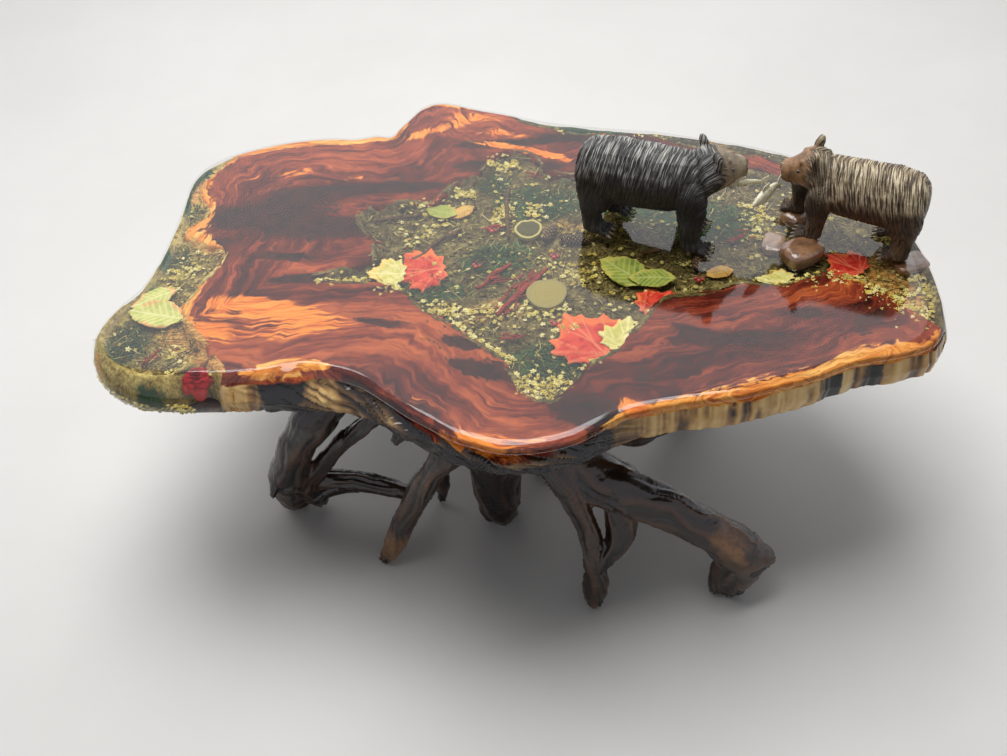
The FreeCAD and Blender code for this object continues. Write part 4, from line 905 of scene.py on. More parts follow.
def makeLeaves(name, look):
    shares, veins = (mapleShares, mapleVeins) if look["shape"] == "maple" else (ovalShares, ovalVeins)
    right = np.array(shares)
    outline = np.vstack([right, right[1:-1][::-1] * (-1, 1)])
    steps = np.arange(6)[:, None] / 6
    loop = np.vstack([a + (b - a) * steps for a, b in zip(outline, np.roll(outline, -1, 0))])
    middle = np.array([0, -0.08])
    heap = Heap()
    for index, (x, y, turn, span, height) in enumerate(look["rows"]):
        edge = atHeight(loop, index)
        torn = 0.05 * softNoise(edge, 0.035, 71) + 0.05 * softNoise(edge, 0.11, 72)
        ragged = loop + (loop - middle) * torn[:, None]
        rings = np.linspace(0.04, 1, 12)
        flat = (middle + rings[:, None, None] * (ragged - middle)).reshape(-1, 2)
        gaps = [runDistance(flat, np.array(a, float), b) for a, b in veins]
        gap = np.min([gaps[0] / 1.6, *gaps[1:]], axis=0)  # the middle vein is the widest
        vein = np.exp(-(gap / 0.012) ** 2)
        out = np.repeat(rings, len(loop))
        wave = softNoise(atHeight(flat, index), 0.33, 73)
        curl = out ** 3 * softNoise(atHeight(flat, out), 0.2, 74)
        z = span * (0.035 * wave + 0.030 * curl) - vein * 0.0005
        verts = np.column_stack([flat * span, z]) @ spin(turn).T + inPlan(x, y, height)
        verts = np.vstack([verts, verts[:len(loop)].mean(0)])
        faces = ringFaces(12, len(loop)) + capFaces(len(loop), 0, len(verts) - 1, True)
        heap.add(verts, faces, vein=np.append(vein, 1), out=np.append(out, 0))
    piece = heap.piece(name, leafFinish(name, look))
    applyModifier(piece, "SOLIDIFY", thickness=0.0006, offset=0)
    carry(piece, look["slot"], look["node"])


def scatter(rng, key, count, margin=0.004, rimRoom=0.004):  # loose places in one hollow
    low, high = loops[key].min(0), loops[key].max(0)
    flat = rng.uniform(low, high, (count * 5, 2))
    room = np.minimum(depthInside(flat, loops[key]) - margin, depthInside(flat, topRim) - rimRoom)
    return flat[room > 0][:count]


def inRim(points, room=0.003):
    return depthInside(points[:, :2], topRim) > room


def tintFinish(name, *stops):
    f = Finish(name)
    tint = f.marks("tint")[0]
    fine = f.noise(240, 3, 0.6)
    return f.done(f.surface(baseColor=(tint * 0.8 + fine * 0.2).ramp(*stops), roughness=0.6, shine=0.0))


litterLook = {  # strands, flakes, and a strand's length in metres
    "pool": (4200, 1100, 0.022), "leftBay": (1300, 300, 0.026), "backBay": (600, 160, 0.016),
}
mossPad = {"radius": 0.037, "strands": 520}
mossLooks = {  # x and y shares, then the pad's size as a share of the one above
    "moss": ("moss", [(-0.100, -0.076, 0.78), (-0.010, -0.020, 0.89), (0.000, 0.206, 0.62),
                      (0.064, 0.122, 0.78), (0.044, -0.292, 0.81), (0.290, 0.010, 1.00),
                      (0.236, 0.110, 0.84)]),
    "bayMoss": ("bay_moss", [(-0.452, -0.130, 0.84), (-0.404, 0.220, 0.54), (-0.414, 0.080, 0.60)]),
    "backMoss": ("back_moss", [(0.100, 0.362, 0.46), (0.160, 0.336, 0.46), (0.300, 0.250, 0.44)]),
}
flowerLooks = {"yellowFlowers": ("yellow_flowers", {"pool": 200, "backBay": 20}),
               "bayFlowers": ("bay_yellow_flowers", {"leftBay": 40})}  # loose florets beside the sprays
chipRows = [  # strips of red bark: x, y, turn, length and spread in metres, number of chips
    (0.014, -0.095, 52, 0.090, 0.0075, 46), (-0.009, 0.057, 2, 0.036, 0.003, 12),
    (0.064, 0.179, -25, 0.026, 0.004, 8), (-0.195, 0.048, -25, 0.034, 0.005, 12),
    (0.002, -0.182, 2, 0.034, 0.003, 12), (0.001, -0.299, -50, 0.016, 0.003, 5),
    (0.300, -0.165, -10, 0.070, 0.004, 16), (0.350, -0.020, 20, 0.034, 0.006, 10),
    (-0.010, -0.060, 8, 0.040, 0.004, 10), (-0.500, -0.150, 30, 0.024, 0.008, 8),
    (-0.486, 0.120, 10, 0.020, 0.006, 8),
]


def makeLitter():
    rng = np.random.default_rng(castSeeds["litter"])
    finish = tintFinish("driedLitter", (0.12, (0.030, 0.019, 0.009)), (0.35, (0.14, 0.088, 0.030)),
                        (0.55, (0.24, 0.22, 0.060)), (0.72, (0.52, 0.43, 0.14)),
                        (0.90, (0.80, 0.70, 0.32)))
    for key, (strandCount, flakeCount, reach) in litterLook.items():
        heap = Heap()
        flat = scatter(rng, key, strandCount)
        count = len(flat)
        roots = np.column_stack([flat, bedHeights(key, flat) + rng.uniform(0.0005, 0.0055, count)])
        heading = rng.uniform(0, 2 * math.pi, count)
        ways = unit(np.column_stack([np.cos(heading), np.sin(heading), rng.uniform(-0.12, 0.16, count)]))
        bends = rng.normal(0, 0.35, (count, 3)) * (1, 1, 0.08)
        lengths = rng.uniform(0.3, 1.2, count) * reach
        kept = inRim(roots + (ways + bends * lengths[:, None]) * lengths[:, None])
        girths, tints = rng.uniform(0.0003, 0.0010, count), rng.beta(1.3, 1.5, count)
        heap.strands(roots[kept], ways[kept], lengths[kept], girths[kept], bends[kept], tint=tints[kept])
        flakes = scatter(rng, key, flakeCount, 0.002, 0.008)
        for place, level in zip(flakes, bedHeights(key, flakes)):
            size = rng.uniform(0.0016, 0.0048)
            turn = spin(rng.uniform(0, 360)) @ spin(rng.uniform(-25, 25), "X")
            centre = (*place, level + rng.uniform(0.001, 0.006))
            heap.balls([(centre, (size, size * rng.uniform(0.35, 0.8), 0.0006), turn)], 7, 4,
                       tint=rng.beta(1.2, 1.4))
        heap.verts = [atHeight(v[:, :2], np.minimum(v[:, 2], woodTop - 0.0005)) for v in heap.verts]
        carry(heap.piece(key + "Litter", finish), "moss")


def makeMoss():
    rng = np.random.default_rng(castSeeds["moss"])
    finish = tintFinish("greenMoss", (0.10, (0.010, 0.028, 0.013)), (0.45, (0.040, 0.110, 0.040)),
                        (0.75, (0.10, 0.22, 0.065)), (0.95, (0.32, 0.40, 0.11)))
    for name, (node, rows) in mossLooks.items():
        heap = Heap()
        for x, y, size in rows:
            radius = mossPad["radius"] * size
            count = int(mossPad["strands"] * size)
            away = np.sqrt(rng.uniform(0, 1, count)) * radius * 1.05
            heading = rng.uniform(0, 2 * math.pi, count)
            outwards = np.column_stack([np.cos(heading), np.sin(heading), np.zeros(count)])
            roots = inPlan(x, y, -0.001) + outwards * away[:, None]
            roots[:, 2] += 0.003 * (1 - (away / radius) ** 2)
            ways = outwards * rng.uniform(0.2, 1.0, (count, 1))
            ways = unit(ways + rng.normal(0, 0.35, (count, 3)) + (0, 0, 0.42))
            lengths = rng.uniform(0.004, 0.010, count)
            bends = rng.normal(0, 0.4, (count, 3)) - (0, 0, 0.5)
            kept = inRim(roots + ways * lengths[:, None])
            girths = rng.uniform(0.0005, 0.0010, count)
            tints = np.clip(rng.normal(0.45, 0.2, count), 0, 1)
            heap.strands(roots[kept], ways[kept], lengths[kept], girths[kept], bends[kept],
                         tint=tints[kept])
        carry(heap.piece(name, finish), "moss", node)


def floret(heap, rng, centre, size):
    lean = spin(rng.uniform(-25, 25), "X") @ spin(rng.uniform(-25, 25), "Y") @ spin(rng.uniform(0, 360))
    rows = [(centre + lean @ (0, 0, size * 0.25), np.array([0.34, 0.34, 0.28]) * size, lean)]
    for petal in range(5):
        turn = lean @ spin(72 * petal + rng.uniform(-8, 8))
        rows.append((centre + turn @ (size * 0.55, 0, 0), np.array([0.48, 0.32, 0.16]) * size, turn))
    heap.balls(rows, 9, 6, tint=rng.uniform(0.2, 0.9))


def makeFlowers():
    rng = np.random.default_rng(castSeeds["flowers"])
    finish = tintFinish("yellowFloret", (0.15, (0.40, 0.28, 0.035)), (0.45, (0.66, 0.54, 0.12)),
                        (0.70, (0.82, 0.74, 0.30)), (0.95, (0.90, 0.86, 0.56)))
    for name, (node, loose) in flowerLooks.items():
        heap = Heap()
        for key, number in loose.items():
            flat = [scatter(rng, key, number, 0.003, 0.008)]
            for x, y, turn, reach, spread, count in sprays[key]:
                along = rng.uniform(-0.5, 0.5, count) * reach
                local = np.column_stack([along, rng.normal(0, spread, count)])
                flat.append(local @ spin(turn)[:2, :2].T + (x, y))
            flat = np.vstack(flat)
            flat = flat[inRim(flat, 0.007)]
            for place, level in zip(flat, bedHeights(key, flat)):
                height = min(level + rng.uniform(0.002, 0.007), woodTop - 0.001)
                floret(heap, rng, np.array([*place, height]), rng.uniform(0.0022, 0.0046))
        if name == "bayFlowers":  # along the foot of the clear end
            line, out, inset = slabRings(900)
            foot = (line[:, 0] < -0.37 * slabLength) & (line[:, 1] < 0.02 * slabWidth)
            for k in rng.choice(np.flatnonzero(foot), 260):
                size, height = rng.uniform(0.0022, 0.0040), 0.009 + 0.018 * rng.uniform(0, 1) ** 1.5
                place = line[k] - out[k] * (edgeInset(1 - height / slabThickness, inset[k]) + 0.0030)
                floret(heap, rng, np.array([*place, slabBase + height]), size)
        carry(heap.piece(name, finish), "flower", node)


for leafName, leafLook in leafLooks.items():
    makeLeaves(leafName, leafLook)
makeLitter()
makeMoss()
makeFlowers()


stickLooks = {
    "darkTwigs": {"slot": "twig", "node": "twigs", "low": (0.020, 0.012, 0.007),
                  "high": (0.21, 0.13, 0.065),
                  "rows": [(-0.128, 0.134, 4, 0.074), (-0.080, 0.040, 38, 0.096),
                           (0.014, 0.110, 84, 0.120), (0.204, -0.030, 16, 0.090)]},
    "redSticks": {"slot": "red_stick", "node": "red_sticks", "low": (0.10, 0.012, 0.009),
                  "high": (0.42, 0.070, 0.045),
                  "rows": [(0.016, -0.112, 48, 0.116), (-0.014, -0.066, 40, 0.070)]},
}
coneLook = {"rows": [(0.062, 0.036, 60), (0.092, 0.008, -10), (0.232, -0.086, 70)],
            "scales": 84, "length": 0.040, "girth": 0.0078}
berryRows = [(-0.034, -0.036), (0.062, -0.032), (0.050, -0.206), (0.226, -0.134), (-0.010, 0.060)]
sliceLooks = {
    "paleSlice": {"slot": "pale_slice", "node": "wood_slice", "place": (0.047, -0.130), "radius": 0.029,
                  "height": 0.007,
                  "face": ((0.27, 0.22, 0.06), (0.40, 0.34, 0.12)), "bark": (0.30, 0.26, 0.10)},
    "darkSlice": {"slot": "dark_slice", "node": "dark_wood_slice", "place": (0.036, 0.052),
                  "radius": 0.021, "height": 0.007,
                  "face": ((0.045, 0.042, 0.020), (0.15, 0.14, 0.06)), "bark": (0.50, 0.44, 0.17)},
}
# rows: x and y shares, turn, size, and height as a share of that size
stoneLook = {"size": (0.062, 0.048, 0.030),
             "rows": [(0.352, -0.104, 24, 1.00, 1.0), (0.326, -0.062, 70, 0.72, 0.62),
                      (0.366, -0.002, 30, 0.86, 1.0), (0.472, -0.150, 12, 0.80, 0.58)]}
roseLook = {"place": (-0.362, -0.240), "radius": 0.026, "petals": 24, "droop": 0.020}


def makeSticks(name, look):
    heap = Heap()
    for index, (x, y, turn, length) in enumerate(look["rows"]):
        line = np.linspace(-0.5, 0.5, 6)
        sway = softNoise(np.column_stack([line * 3, np.full(6, index), np.zeros(6)]), 1.0, 81)
        points = np.column_stack([line * length, sway * 0.006, np.full(6, 0.003),
                                  0.0036 * (1 - 0.35 * np.abs(line))])
        points[:, :3] = points[:, :3] @ spin(turn).T + inPlan(x, y)
        heap.tube(points, 16, 0.45, 82 + index)
        for at, lean in ((0.28, 38), (-0.15, -42)):  # side shoots
            start = np.array([at * length, 0, 0.003])
            tip = start + spin(lean) @ (length * 0.17, 0, 0)
            shoot = np.array([[*start, 0.0018], [*(start * 0.5 + tip * 0.5), 0.0014], [*tip, 0.0008]])
            shoot[:, :3] = shoot[:, :3] @ spin(turn).T + inPlan(x, y)
            heap.tube(shoot, 8, 0.3, 90 + index)
    if name == "redSticks":
        rng = np.random.default_rng(castSeeds["chips"])
        for x, y, turn, reach, spread, count in chipRows:
            for index in range(count):
                place = spin(turn) @ (rng.uniform(-0.5, 0.5) * reach, rng.normal(0, spread),
                                      rng.uniform(0.001, 0.006))
                leaning = spin(turn + rng.normal(0, 14)) @ spin(rng.uniform(-30, 30), "X")
                size = (rng.uniform(0.005, 0.012), rng.uniform(0.0012, 0.0026), 0.0008)
                heap.balls([(place + (x, y, pourLine), size, leaning)], 8, 5)
    finish = mottledFinish(name, look["low"], look["high"], 130, 0.6, 0.9, shine=0.0)
    carry(heap.piece(name, finish), look["slot"], look["node"])


def makeCones():
    f = Finish("coneScale")
    tip = f.marks("tip")[0]
    fine = f.noise(200, 4, 0.6)
    tone = tip * 0.75 + fine * 0.25
    colour = tone.ramp((0.2, (0.022, 0.011, 0.007)), (0.6, (0.13, 0.075, 0.04)),
                       (0.85, (0.62, 0.52, 0.34)))
    finish = f.done(f.surface(baseColor=colour, roughness=0.6, shine=0.0,
                              normal=f.bump(fine, 0.4, 0.001)))
    verts, faces = ballShape(8, 6)
    heap = Heap()
    for x, y, turn in coneLook["rows"]:
        for index in range(coneLook["scales"]):
            t = index / coneLook["scales"]
            swell = math.sin(math.pi * min(1, t * 0.86 + 0.14)) ** 0.7
            roll = spin(index * 137.5, "X")
            centre = np.array([(t - 0.5) * coneLook["length"], 0, 0])
            centre = centre + roll @ (0, 0, coneLook["girth"] * swell * 0.62)
            half = (0.0048 * (0.5 + swell * 0.5), 0.0032, 0.0010)
            scale = (verts * half) @ (roll @ spin(-52, "Y")).T + centre
            scale[:, 2] = np.maximum(scale[:, 2] + 0.0056, 0)
            tips = np.clip(0.5 + 0.5 * verts[:, 0], 0, 1) ** 3
            heap.add(scale @ spin(turn).T + inPlan(x, y), faces, tip=tips)
    carry(heap.piece("pineCones", finish), "cone", "pine_cones")


def makeBerries():
    heap = Heap()
    for index, (x, y) in enumerate(berryRows):
        for dx, dy, size in ((0, 0, 0.0034), (0.0058, 0.002, 0.0028), (-0.003, 0.0055, 0.0030)):
            centre = inPlan(x, y, size * 0.95) + (dx, dy, 0)
            verts, faces = ballShape(16, 10)
            dent = 1 - 0.35 * np.exp(-((verts - (0.3, 0.2, 0.93)) ** 2).sum(1) / 0.06)
            heap.add(verts * size * dent[:, None] + centre, faces)
            stem = [(*(centre + (0.0008, 0.0006, size * 0.6)), 0.0005),
                    (*(centre + (0.004, 0.003, size)), 0.0004),
                    (*(centre + (0.008, 0.008, size * 0.8)), 0.0004)]
            heap.tube(stem, 6, 0.1, 95 + index)
    finish = mottledFinish("redBerry", (0.26, 0.008, 0.008), (0.55, 0.03, 0.02), 120, 0.3, 0.2, 0.5)
    carry(heap.piece("berries", finish), "berry", "berries")


def makeSlice(name, look):
    f = Finish(name)
    share = f.marks("share")[0]
    rings = f.noise(1, 2, 0.5, 0, f.joined(share * 26 + f.noise(40, 2) * 2, 0, 0))
    face = rings.ramp((0.4, look["face"][0]), (0.6, look["face"][1]))
    colour = f.mix(share.between(0.80, 0.88), face, look["bark"])
    finish = f.done(f.surface(baseColor=colour, roughness=0.55, shine=0.0,
                              normal=f.bump(rings + f.noise(150, 3) * 0.5, 0.5, 0.001)))
    around, steps = 72, 16
    angle = np.linspace(0, 2 * math.pi, around, endpoint=False)
    outward = np.column_stack([np.cos(angle), np.sin(angle)])
    wobble = look["radius"] * (1 + 0.07 * softNoise(atHeight(outward * 1.2, 0.0), 0.6, 97))
    levels = [(k / steps, look["height"] + 0.0004 * math.sin(k * 2.4)) for k in range(1, steps + 1)]
    levels += [(1.02, look["height"] * 0.8), (1.03, look["height"] * 0.4), (1.0, 0.0), (0.5, 0.0)]
    verts = np.vstack([atHeight(outward * (wobble * min(s, 1.0))[:, None], z) for s, z in levels])
    verts[:, 2] += layeredNoise(verts, 0.004, 98) * 0.0005
    verts = np.vstack([verts, [[0, 0, look["height"]], [0, 0, 0]]]) + inPlan(*look["place"])
    faces = closedFaces(len(levels), around)
    shares = np.concatenate([np.repeat([min(1, s) for s, z in levels], around), [0, 1]])
    carry(meshPiece(name, verts, faces, finish, {"share": shares}), look["slot"], look["node"])


def makeStones():
    heap = Heap()
    verts, faces = ballShape(72, 40)
    boxy = np.sign(verts) * np.abs(verts) ** 0.55
    for index, (x, y, turn, size, tall) in enumerate(stoneLook["rows"]):
        half = np.array(stoneLook["size"]) * size / 2 * (1, 1, tall)
        lumps = 1 + 0.10 * layeredNoise(boxy + index * 3, 1.1, 101)
        lumps = lumps + 0.03 * layeredNoise(boxy + index * 5, 0.25, 102)
        rock = np.clip(boxy * lumps[:, None], -1.02, 1.02) * half * (0.97, 0.97, 1)
        heap.add(rock @ spin(turn).T + inPlan(x, y, half[2]), faces)
    finish = mottledFinish("wetStone", (0.075, 0.034, 0.018), (0.40, 0.21, 0.09), 42, 0.35, 0.5, 0.9,
                           (0.22, 0.105, 0.045))
    carry(heap.piece("riverStones", finish), "stone", "river_stones")


def makeRose():
    heap = Heap()
    across, along = 9, 7
    u, v = np.meshgrid(np.linspace(-1, 1, across), np.linspace(0, 1, along), indexing="ij")
    cells = np.arange(across * along).reshape(across, along)
    faces = np.stack([cells[:-1, :-1], cells[1:, :-1], cells[1:, 1:], cells[:-1, 1:]], -1)
    faces = faces.reshape(-1, 4).tolist()
    for petal in range(roseLook["petals"]):
        t = petal / (roseLook["petals"] - 1)
        reach = roseLook["radius"] * (0.28 + 0.78 * t)
        width = reach * (0.62 - 0.10 * t)
        rise = 0.0075 * (1 - 0.6 * t)
        x = reach * (0.12 + v * 0.88 * (1 - 0.16 * u ** 2))
        y = width * u * (0.35 + 0.65 * np.sin(np.pi * np.minimum(v * 0.8 + 0.12, 1)))
        z = 0.001 + rise * v ** 0.6 + 0.0012 * u ** 2 - (0.0035 * t + roseLook["droop"] * t ** 3) * v ** 3
        sheet = np.column_stack([x.ravel(), y.ravel(), z.ravel()])
        place = sheet @ spin(petal * 137.5).T + inPlan(*roseLook["place"])
        heap.add(place, faces, out=v.ravel() * (0.4 + 0.6 * t))
    f = Finish("rosePetal")
    tone = f.marks("out")[0] * 0.6 + f.noise(90, 4) * 0.4
    colour = tone.ramp((0.25, (0.11, 0.004, 0.006)), (0.55, (0.38, 0.012, 0.014)),
                       (0.80, (0.62, 0.06, 0.05)))
    piece = heap.piece("redRose", f.done(f.surface(baseColor=colour, roughness=0.5, shine=0.0)))
    applyModifier(piece, "SOLIDIFY", thickness=0.0006, offset=0)
    carry(piece, "rose", "red_rose")


for stickName, stickLook in stickLooks.items():
    makeSticks(stickName, stickLook)
makeCones()
makeBerries()
for sliceName, sliceLook in sliceLooks.items():
    makeSlice(sliceName, sliceLook)
makeStones()
makeRose()
print("cast things made")


# the roots

crownHeight = 0.389
rootPaths = {  # x, y, z and radius in metres, from the crown outwards
    "centrePost": [(-0.045, -0.143, 0.012, 0.025), (-0.046, -0.144, 0.047, 0.032),
                   (-0.045, -0.139, 0.156, 0.040), (-0.035, -0.116, 0.233, 0.055),
                   (-0.018, -0.084, 0.303, 0.086), (-0.005, -0.055, 0.345, 0.108)],
    "rightRoot": [(0.008, -0.126, 0.288, 0.046), (0.068, -0.237, 0.245, 0.040),
                  (0.136, -0.279, 0.212, 0.035), (0.206, -0.303, 0.180, 0.032),
                  (0.268, -0.322, 0.143, 0.034), (0.310, -0.336, 0.096, 0.036),
                  (0.308, -0.336, 0.044, 0.025), (0.300, -0.334, 0.014, 0.020)],
    "rightHeel": [(0.312, -0.336, 0.100, 0.030), (0.333, -0.339, 0.093, 0.022),
                  (0.345, -0.340, 0.089, 0.014)],
    "rightToe": [(0.300, -0.334, 0.080, 0.026), (0.282, -0.334, 0.040, 0.017),
                 (0.278, -0.334, 0.016, 0.014)],
    "frontRoot": [(-0.008, -0.140, 0.296, 0.026), (0.034, -0.245, 0.264, 0.023),
                  (0.067, -0.288, 0.210, 0.018), (0.085, -0.305, 0.148, 0.015),
                  (0.090, -0.321, 0.097, 0.018), (0.090, -0.332, 0.039, 0.017),
                  (0.088, -0.335, 0.010, 0.013)],
    "frontBrace": [(0.122, -0.277, 0.214, 0.022), (0.131, -0.294, 0.183, 0.022),
                   (0.131, -0.311, 0.144, 0.019), (0.110, -0.322, 0.109, 0.013),
                   (0.090, -0.323, 0.078, 0.012)],
    "forkWeb": [(0.030, -0.215, 0.262, 0.034), (0.080, -0.270, 0.232, 0.026),
                (0.112, -0.287, 0.205, 0.018)],
    "spearRoot": [(-0.032, -0.147, 0.303, 0.026), (-0.100, -0.210, 0.268, 0.024),
                  (-0.144, -0.214, 0.206, 0.020), (-0.186, -0.211, 0.117, 0.019),
                  (-0.221, -0.213, 0.039, 0.015), (-0.240, -0.216, 0.008, 0.008)],
    "leftRoot": [(-0.048, -0.056, 0.335, 0.031), (-0.168, -0.067, 0.311, 0.029),
                 (-0.280, -0.088, 0.261, 0.029), (-0.348, -0.095, 0.187, 0.030),
                 (-0.381, -0.088, 0.101, 0.033), (-0.388, -0.076, 0.042, 0.030),
                 (-0.388, -0.072, 0.016, 0.020)],
    "leftStrut": [(-0.056, -0.105, 0.327, 0.017), (-0.152, -0.130, 0.296, 0.014),
                  (-0.227, -0.130, 0.249, 0.013), (-0.288, -0.105, 0.175, 0.014),
                  (-0.344, -0.090, 0.093, 0.0155), (-0.382, -0.078, 0.051, 0.015)],
    "leftHeel": [(-0.372, -0.085, 0.090, 0.026), (-0.352, -0.086, 0.040, 0.020),
                 (-0.348, -0.086, 0.018, 0.014)],
    "leftCross": [(-0.376, -0.077, 0.070, 0.019), (-0.330, -0.083, 0.066, 0.017),
                  (-0.280, -0.094, 0.066, 0.0155), (-0.232, -0.106, 0.058, 0.015),
                  (-0.197, -0.118, 0.051, 0.013)],
    "leftCrossLower": [(-0.366, -0.085, 0.044, 0.013), (-0.326, -0.090, 0.048, 0.011),
                       (-0.286, -0.094, 0.060, 0.011)],
    "hangingStub": [(-0.056, -0.126, 0.350, 0.018), (-0.120, -0.175, 0.338, 0.016),
                    (-0.164, -0.214, 0.323, 0.013), (-0.180, -0.229, 0.312, 0.008)],
    "thinRoot": [(-0.040, -0.091, 0.280, 0.017), (-0.096, -0.091, 0.202, 0.014),
                 (-0.128, -0.098, 0.101, 0.012), (-0.142, -0.102, 0.008, 0.009)],
    "centreBack": [(0.008, -0.056, 0.288, 0.036), (0.024, -0.049, 0.179, 0.031),
                   (0.032, -0.049, 0.078, 0.029), (0.032, -0.049, 0.018, 0.024)],
    "backRight": [(0.040, -0.063, 0.303, 0.032), (0.104, -0.112, 0.230, 0.029),
                  (0.168, -0.118, 0.159, 0.027), (0.243, -0.049, 0.097, 0.025),
                  (0.301, 0.067, 0.039, 0.023), (0.323, 0.119, 0.012, 0.016)],
    "backLeft": [(-0.040, 0.0, 0.311, 0.032), (-0.120, 0.063, 0.241, 0.029),
                 (-0.197, 0.147, 0.148, 0.026), (-0.258, 0.217, 0.054, 0.024),
                 (-0.276, 0.240, 0.014, 0.018)],
    "backMiddle": [(0.016, 0.014, 0.311, 0.032), (0.032, 0.105, 0.233, 0.028),
                   (0.045, 0.203, 0.124, 0.025), (0.051, 0.265, 0.047, 0.024),
                   (0.053, 0.282, 0.016, 0.019)],
    "leftTwig": [(-0.396, -0.090, 0.095, 0.012), (-0.408, -0.110, 0.090, 0.008),
                 (-0.412, -0.122, 0.086, 0.005)],
    "crownTop": [(-0.010, -0.048, 0.352, 0.112), (0.010, -0.040, 0.360, 0.116)],
}
rootLook = {
    "voxel": 0.0032,
    "grooves": 2.3,     # cells across a root's own radius
    "grooveRun": 0.11,  # metres that a groove runs before it changes
    "twist": 5.0,       # radians per metre
    "depth": 0.0055,
    "rubbed": [(0.292, -0.335, 0.150, 0.055, 1.0), (-0.222, -0.214, 0.045, 0.055, 1.2),
               (-0.160, -0.214, 0.200, 0.050, 0.5), (-0.045, -0.170, 0.16, 0.08, 0.5),
               (-0.350, -0.110, 0.13, 0.06, 0.4), (-0.260, -0.105, 0.050, 0.05, 0.5)],
}


def lacqueredRoot():
    f = Finish("lacqueredRoot")
    ridge, rubbed = f.marks("ridge", "rubbed")
    patch, fine = f.noise(9, 5, 0.6, 0.6), f.noise(160, 4, 0.6)
    tone = ridge * 0.65 + patch * 0.35
    colour = tone.ramp((0.28, (0.005, 0.003, 0.0025)), (0.52, (0.020, 0.0095, 0.0055)),
                       (0.74, (0.095, 0.040, 0.017)))
    amber = (fine * 0.6 + ridge * 0.4).ramp((0.30, (0.075, 0.030, 0.012)), (0.65, (0.27, 0.13, 0.05)))
    worn = (rubbed * 1.1 + (patch - 0.5) * 1.2 + (ridge - 0.5) * 0.6).between(0.50, 1.05)
    colour = f.mix(worn, colour, amber)
    return f.done(f.surface(baseColor=colour, roughness=0.36, coatWeight=0.6, coatRoughness=0.05,
                            shine=0.25, normal=f.bump(fine + ridge * 0.5, 0.3, 0.0014)))


def pathFrames(curve):  # a side direction that is carried along the root without turning round it
    way = unit(np.gradient(curve[:, :3], axis=0))
    side = np.empty_like(way)
    side[0] = unit(np.cross(way[0], (0.3, 0.9, 0.2)))
    for k in range(1, len(way)):
        side[k] = unit(side[k - 1] - way[k] * (side[k - 1] @ way[k]))
    return side, np.cross(way, side)


def makeRoots():
    rows, centres, sides, ups, alongs = [], [], [], [], []
    for index, points in enumerate(rootPaths.values()):
        length = sum(math.dist(a[:3], b[:3]) for a, b in zip(points, points[1:]))
        thin = min(p[3] for p in points)
        curve = openCurve(points, max(5, int(length / (thin * 0.28))))
        side, up = pathFrames(curve)
        wobble = 1 + 0.15 * softNoise(curve[:, :3], 0.045, 41)
        radii = curve[:, 3] * wobble
        rows += [(place, np.full(3, radius), np.eye(3)) for place, radius in zip(curve[:, :3], radii)]
        centres.append(curve[:, :3])
        sides.append(side)
        ups.append(up)
        alongs.append(index * 7.3 + np.linspace(0, length, len(curve)))
    base = grownForm("rootBase", rows, rootLook["voxel"], 3, lacqueredRoot())
    co, normals = readMesh(base)
    centres, sides, ups = np.vstack(centres), np.vstack(sides), np.vstack(ups)
    nearest = np.concatenate([np.argmin(((chunk[:, None, :] - centres[None]) ** 2).sum(2), axis=1)
                              for chunk in np.array_split(co, max(1, len(co) // 3000))])
    away = co - centres[nearest]
    angle = np.arctan2(np.einsum("ij,ij->i", away, ups[nearest]),
                       np.einsum("ij,ij->i", away, sides[nearest]))
    along = np.concatenate(alongs)[nearest]
    angle = angle + along * rootLook["twist"] + layeredNoise(co, 0.10, 42) * 0.9
    turned = np.column_stack([np.cos(angle), np.sin(angle)]) * rootLook["grooves"]
    drawn = atHeight(turned, along / rootLook["grooveRun"])
    deep = ridges(drawn, 1.0, 43)
    fine = ridges(drawn * (2.6, 2.6, 1.6), 1.0, 44)
    lump = layeredNoise(co, 0.05, 45)
    move = (deep - 0.25) * rootLook["depth"] * 0.5 + (fine - 0.2) * 0.0011 + lump * 0.0035
    co = co + normals * move[:, None]
    co[:, 2] = np.clip(co[:, 2], 0, crownHeight)
    setPlaces(base, co)
    rubbed = np.zeros(len(co))
    for x, y, z, reach, strength in rootLook["rubbed"]:
        rubbed = rubbed + strength * np.exp(-((co - (x, y, z)) ** 2).sum(1) / reach ** 2)
    setMarks(base, ridge=np.clip(0.5 + (deep - 0.25) * 0.35 + (fine - 0.2) * 0.2, 0, 1), rubbed=rubbed)
    carry(base, "root_lacquer", "root_crown", "right_root", "front_root", "front_root_brace",
          "spear_root", "left_root", "left_strut", "left_cross_root", "hanging_stub", "thin_root",
          "centre_back_root", "back_right_root", "back_left_root", "back_root")


makeRoots()
print("roots made")


# the bears

bearForms = {  # shares of length, width and height
    "trunk": [(-0.462, 0.62, 0.36, 0.26), (-0.420, 0.63, 0.45, 0.33), (-0.280, 0.645, 0.50, 0.355),
              (-0.100, 0.65, 0.49, 0.34), (0.050, 0.66, 0.46, 0.33), (0.140, 0.69, 0.41, 0.30),
              (0.190, 0.72, 0.32, 0.24)],
    "head": [(0.000, 0.00, 0.39, 0.25), (0.070, 0.04, 0.38, 0.24), (0.130, 0.04, 0.34, 0.215),
             (0.175, 0.005, 0.26, 0.17), (0.215, -0.02, 0.21, 0.14), (0.255, -0.03, 0.19, 0.125)],
    "leg": [(0.000, 0.62, 0.075, 0.15), (0.000, 0.46, 0.088, 0.165), (-0.004, 0.24, 0.062, 0.140),
            (0.004, 0.12, 0.058, 0.140), (0.018, 0.050, 0.070, 0.155)],
    "ear": (0.075, 0.27, 0.245),
    "brow": (0.140, 0.17, 0.165),
    "nose": (0.278, 0.00, 0.015),
    "mouth": (0.258, 0.0, -0.130),
    "pawLift": 0.008,
}
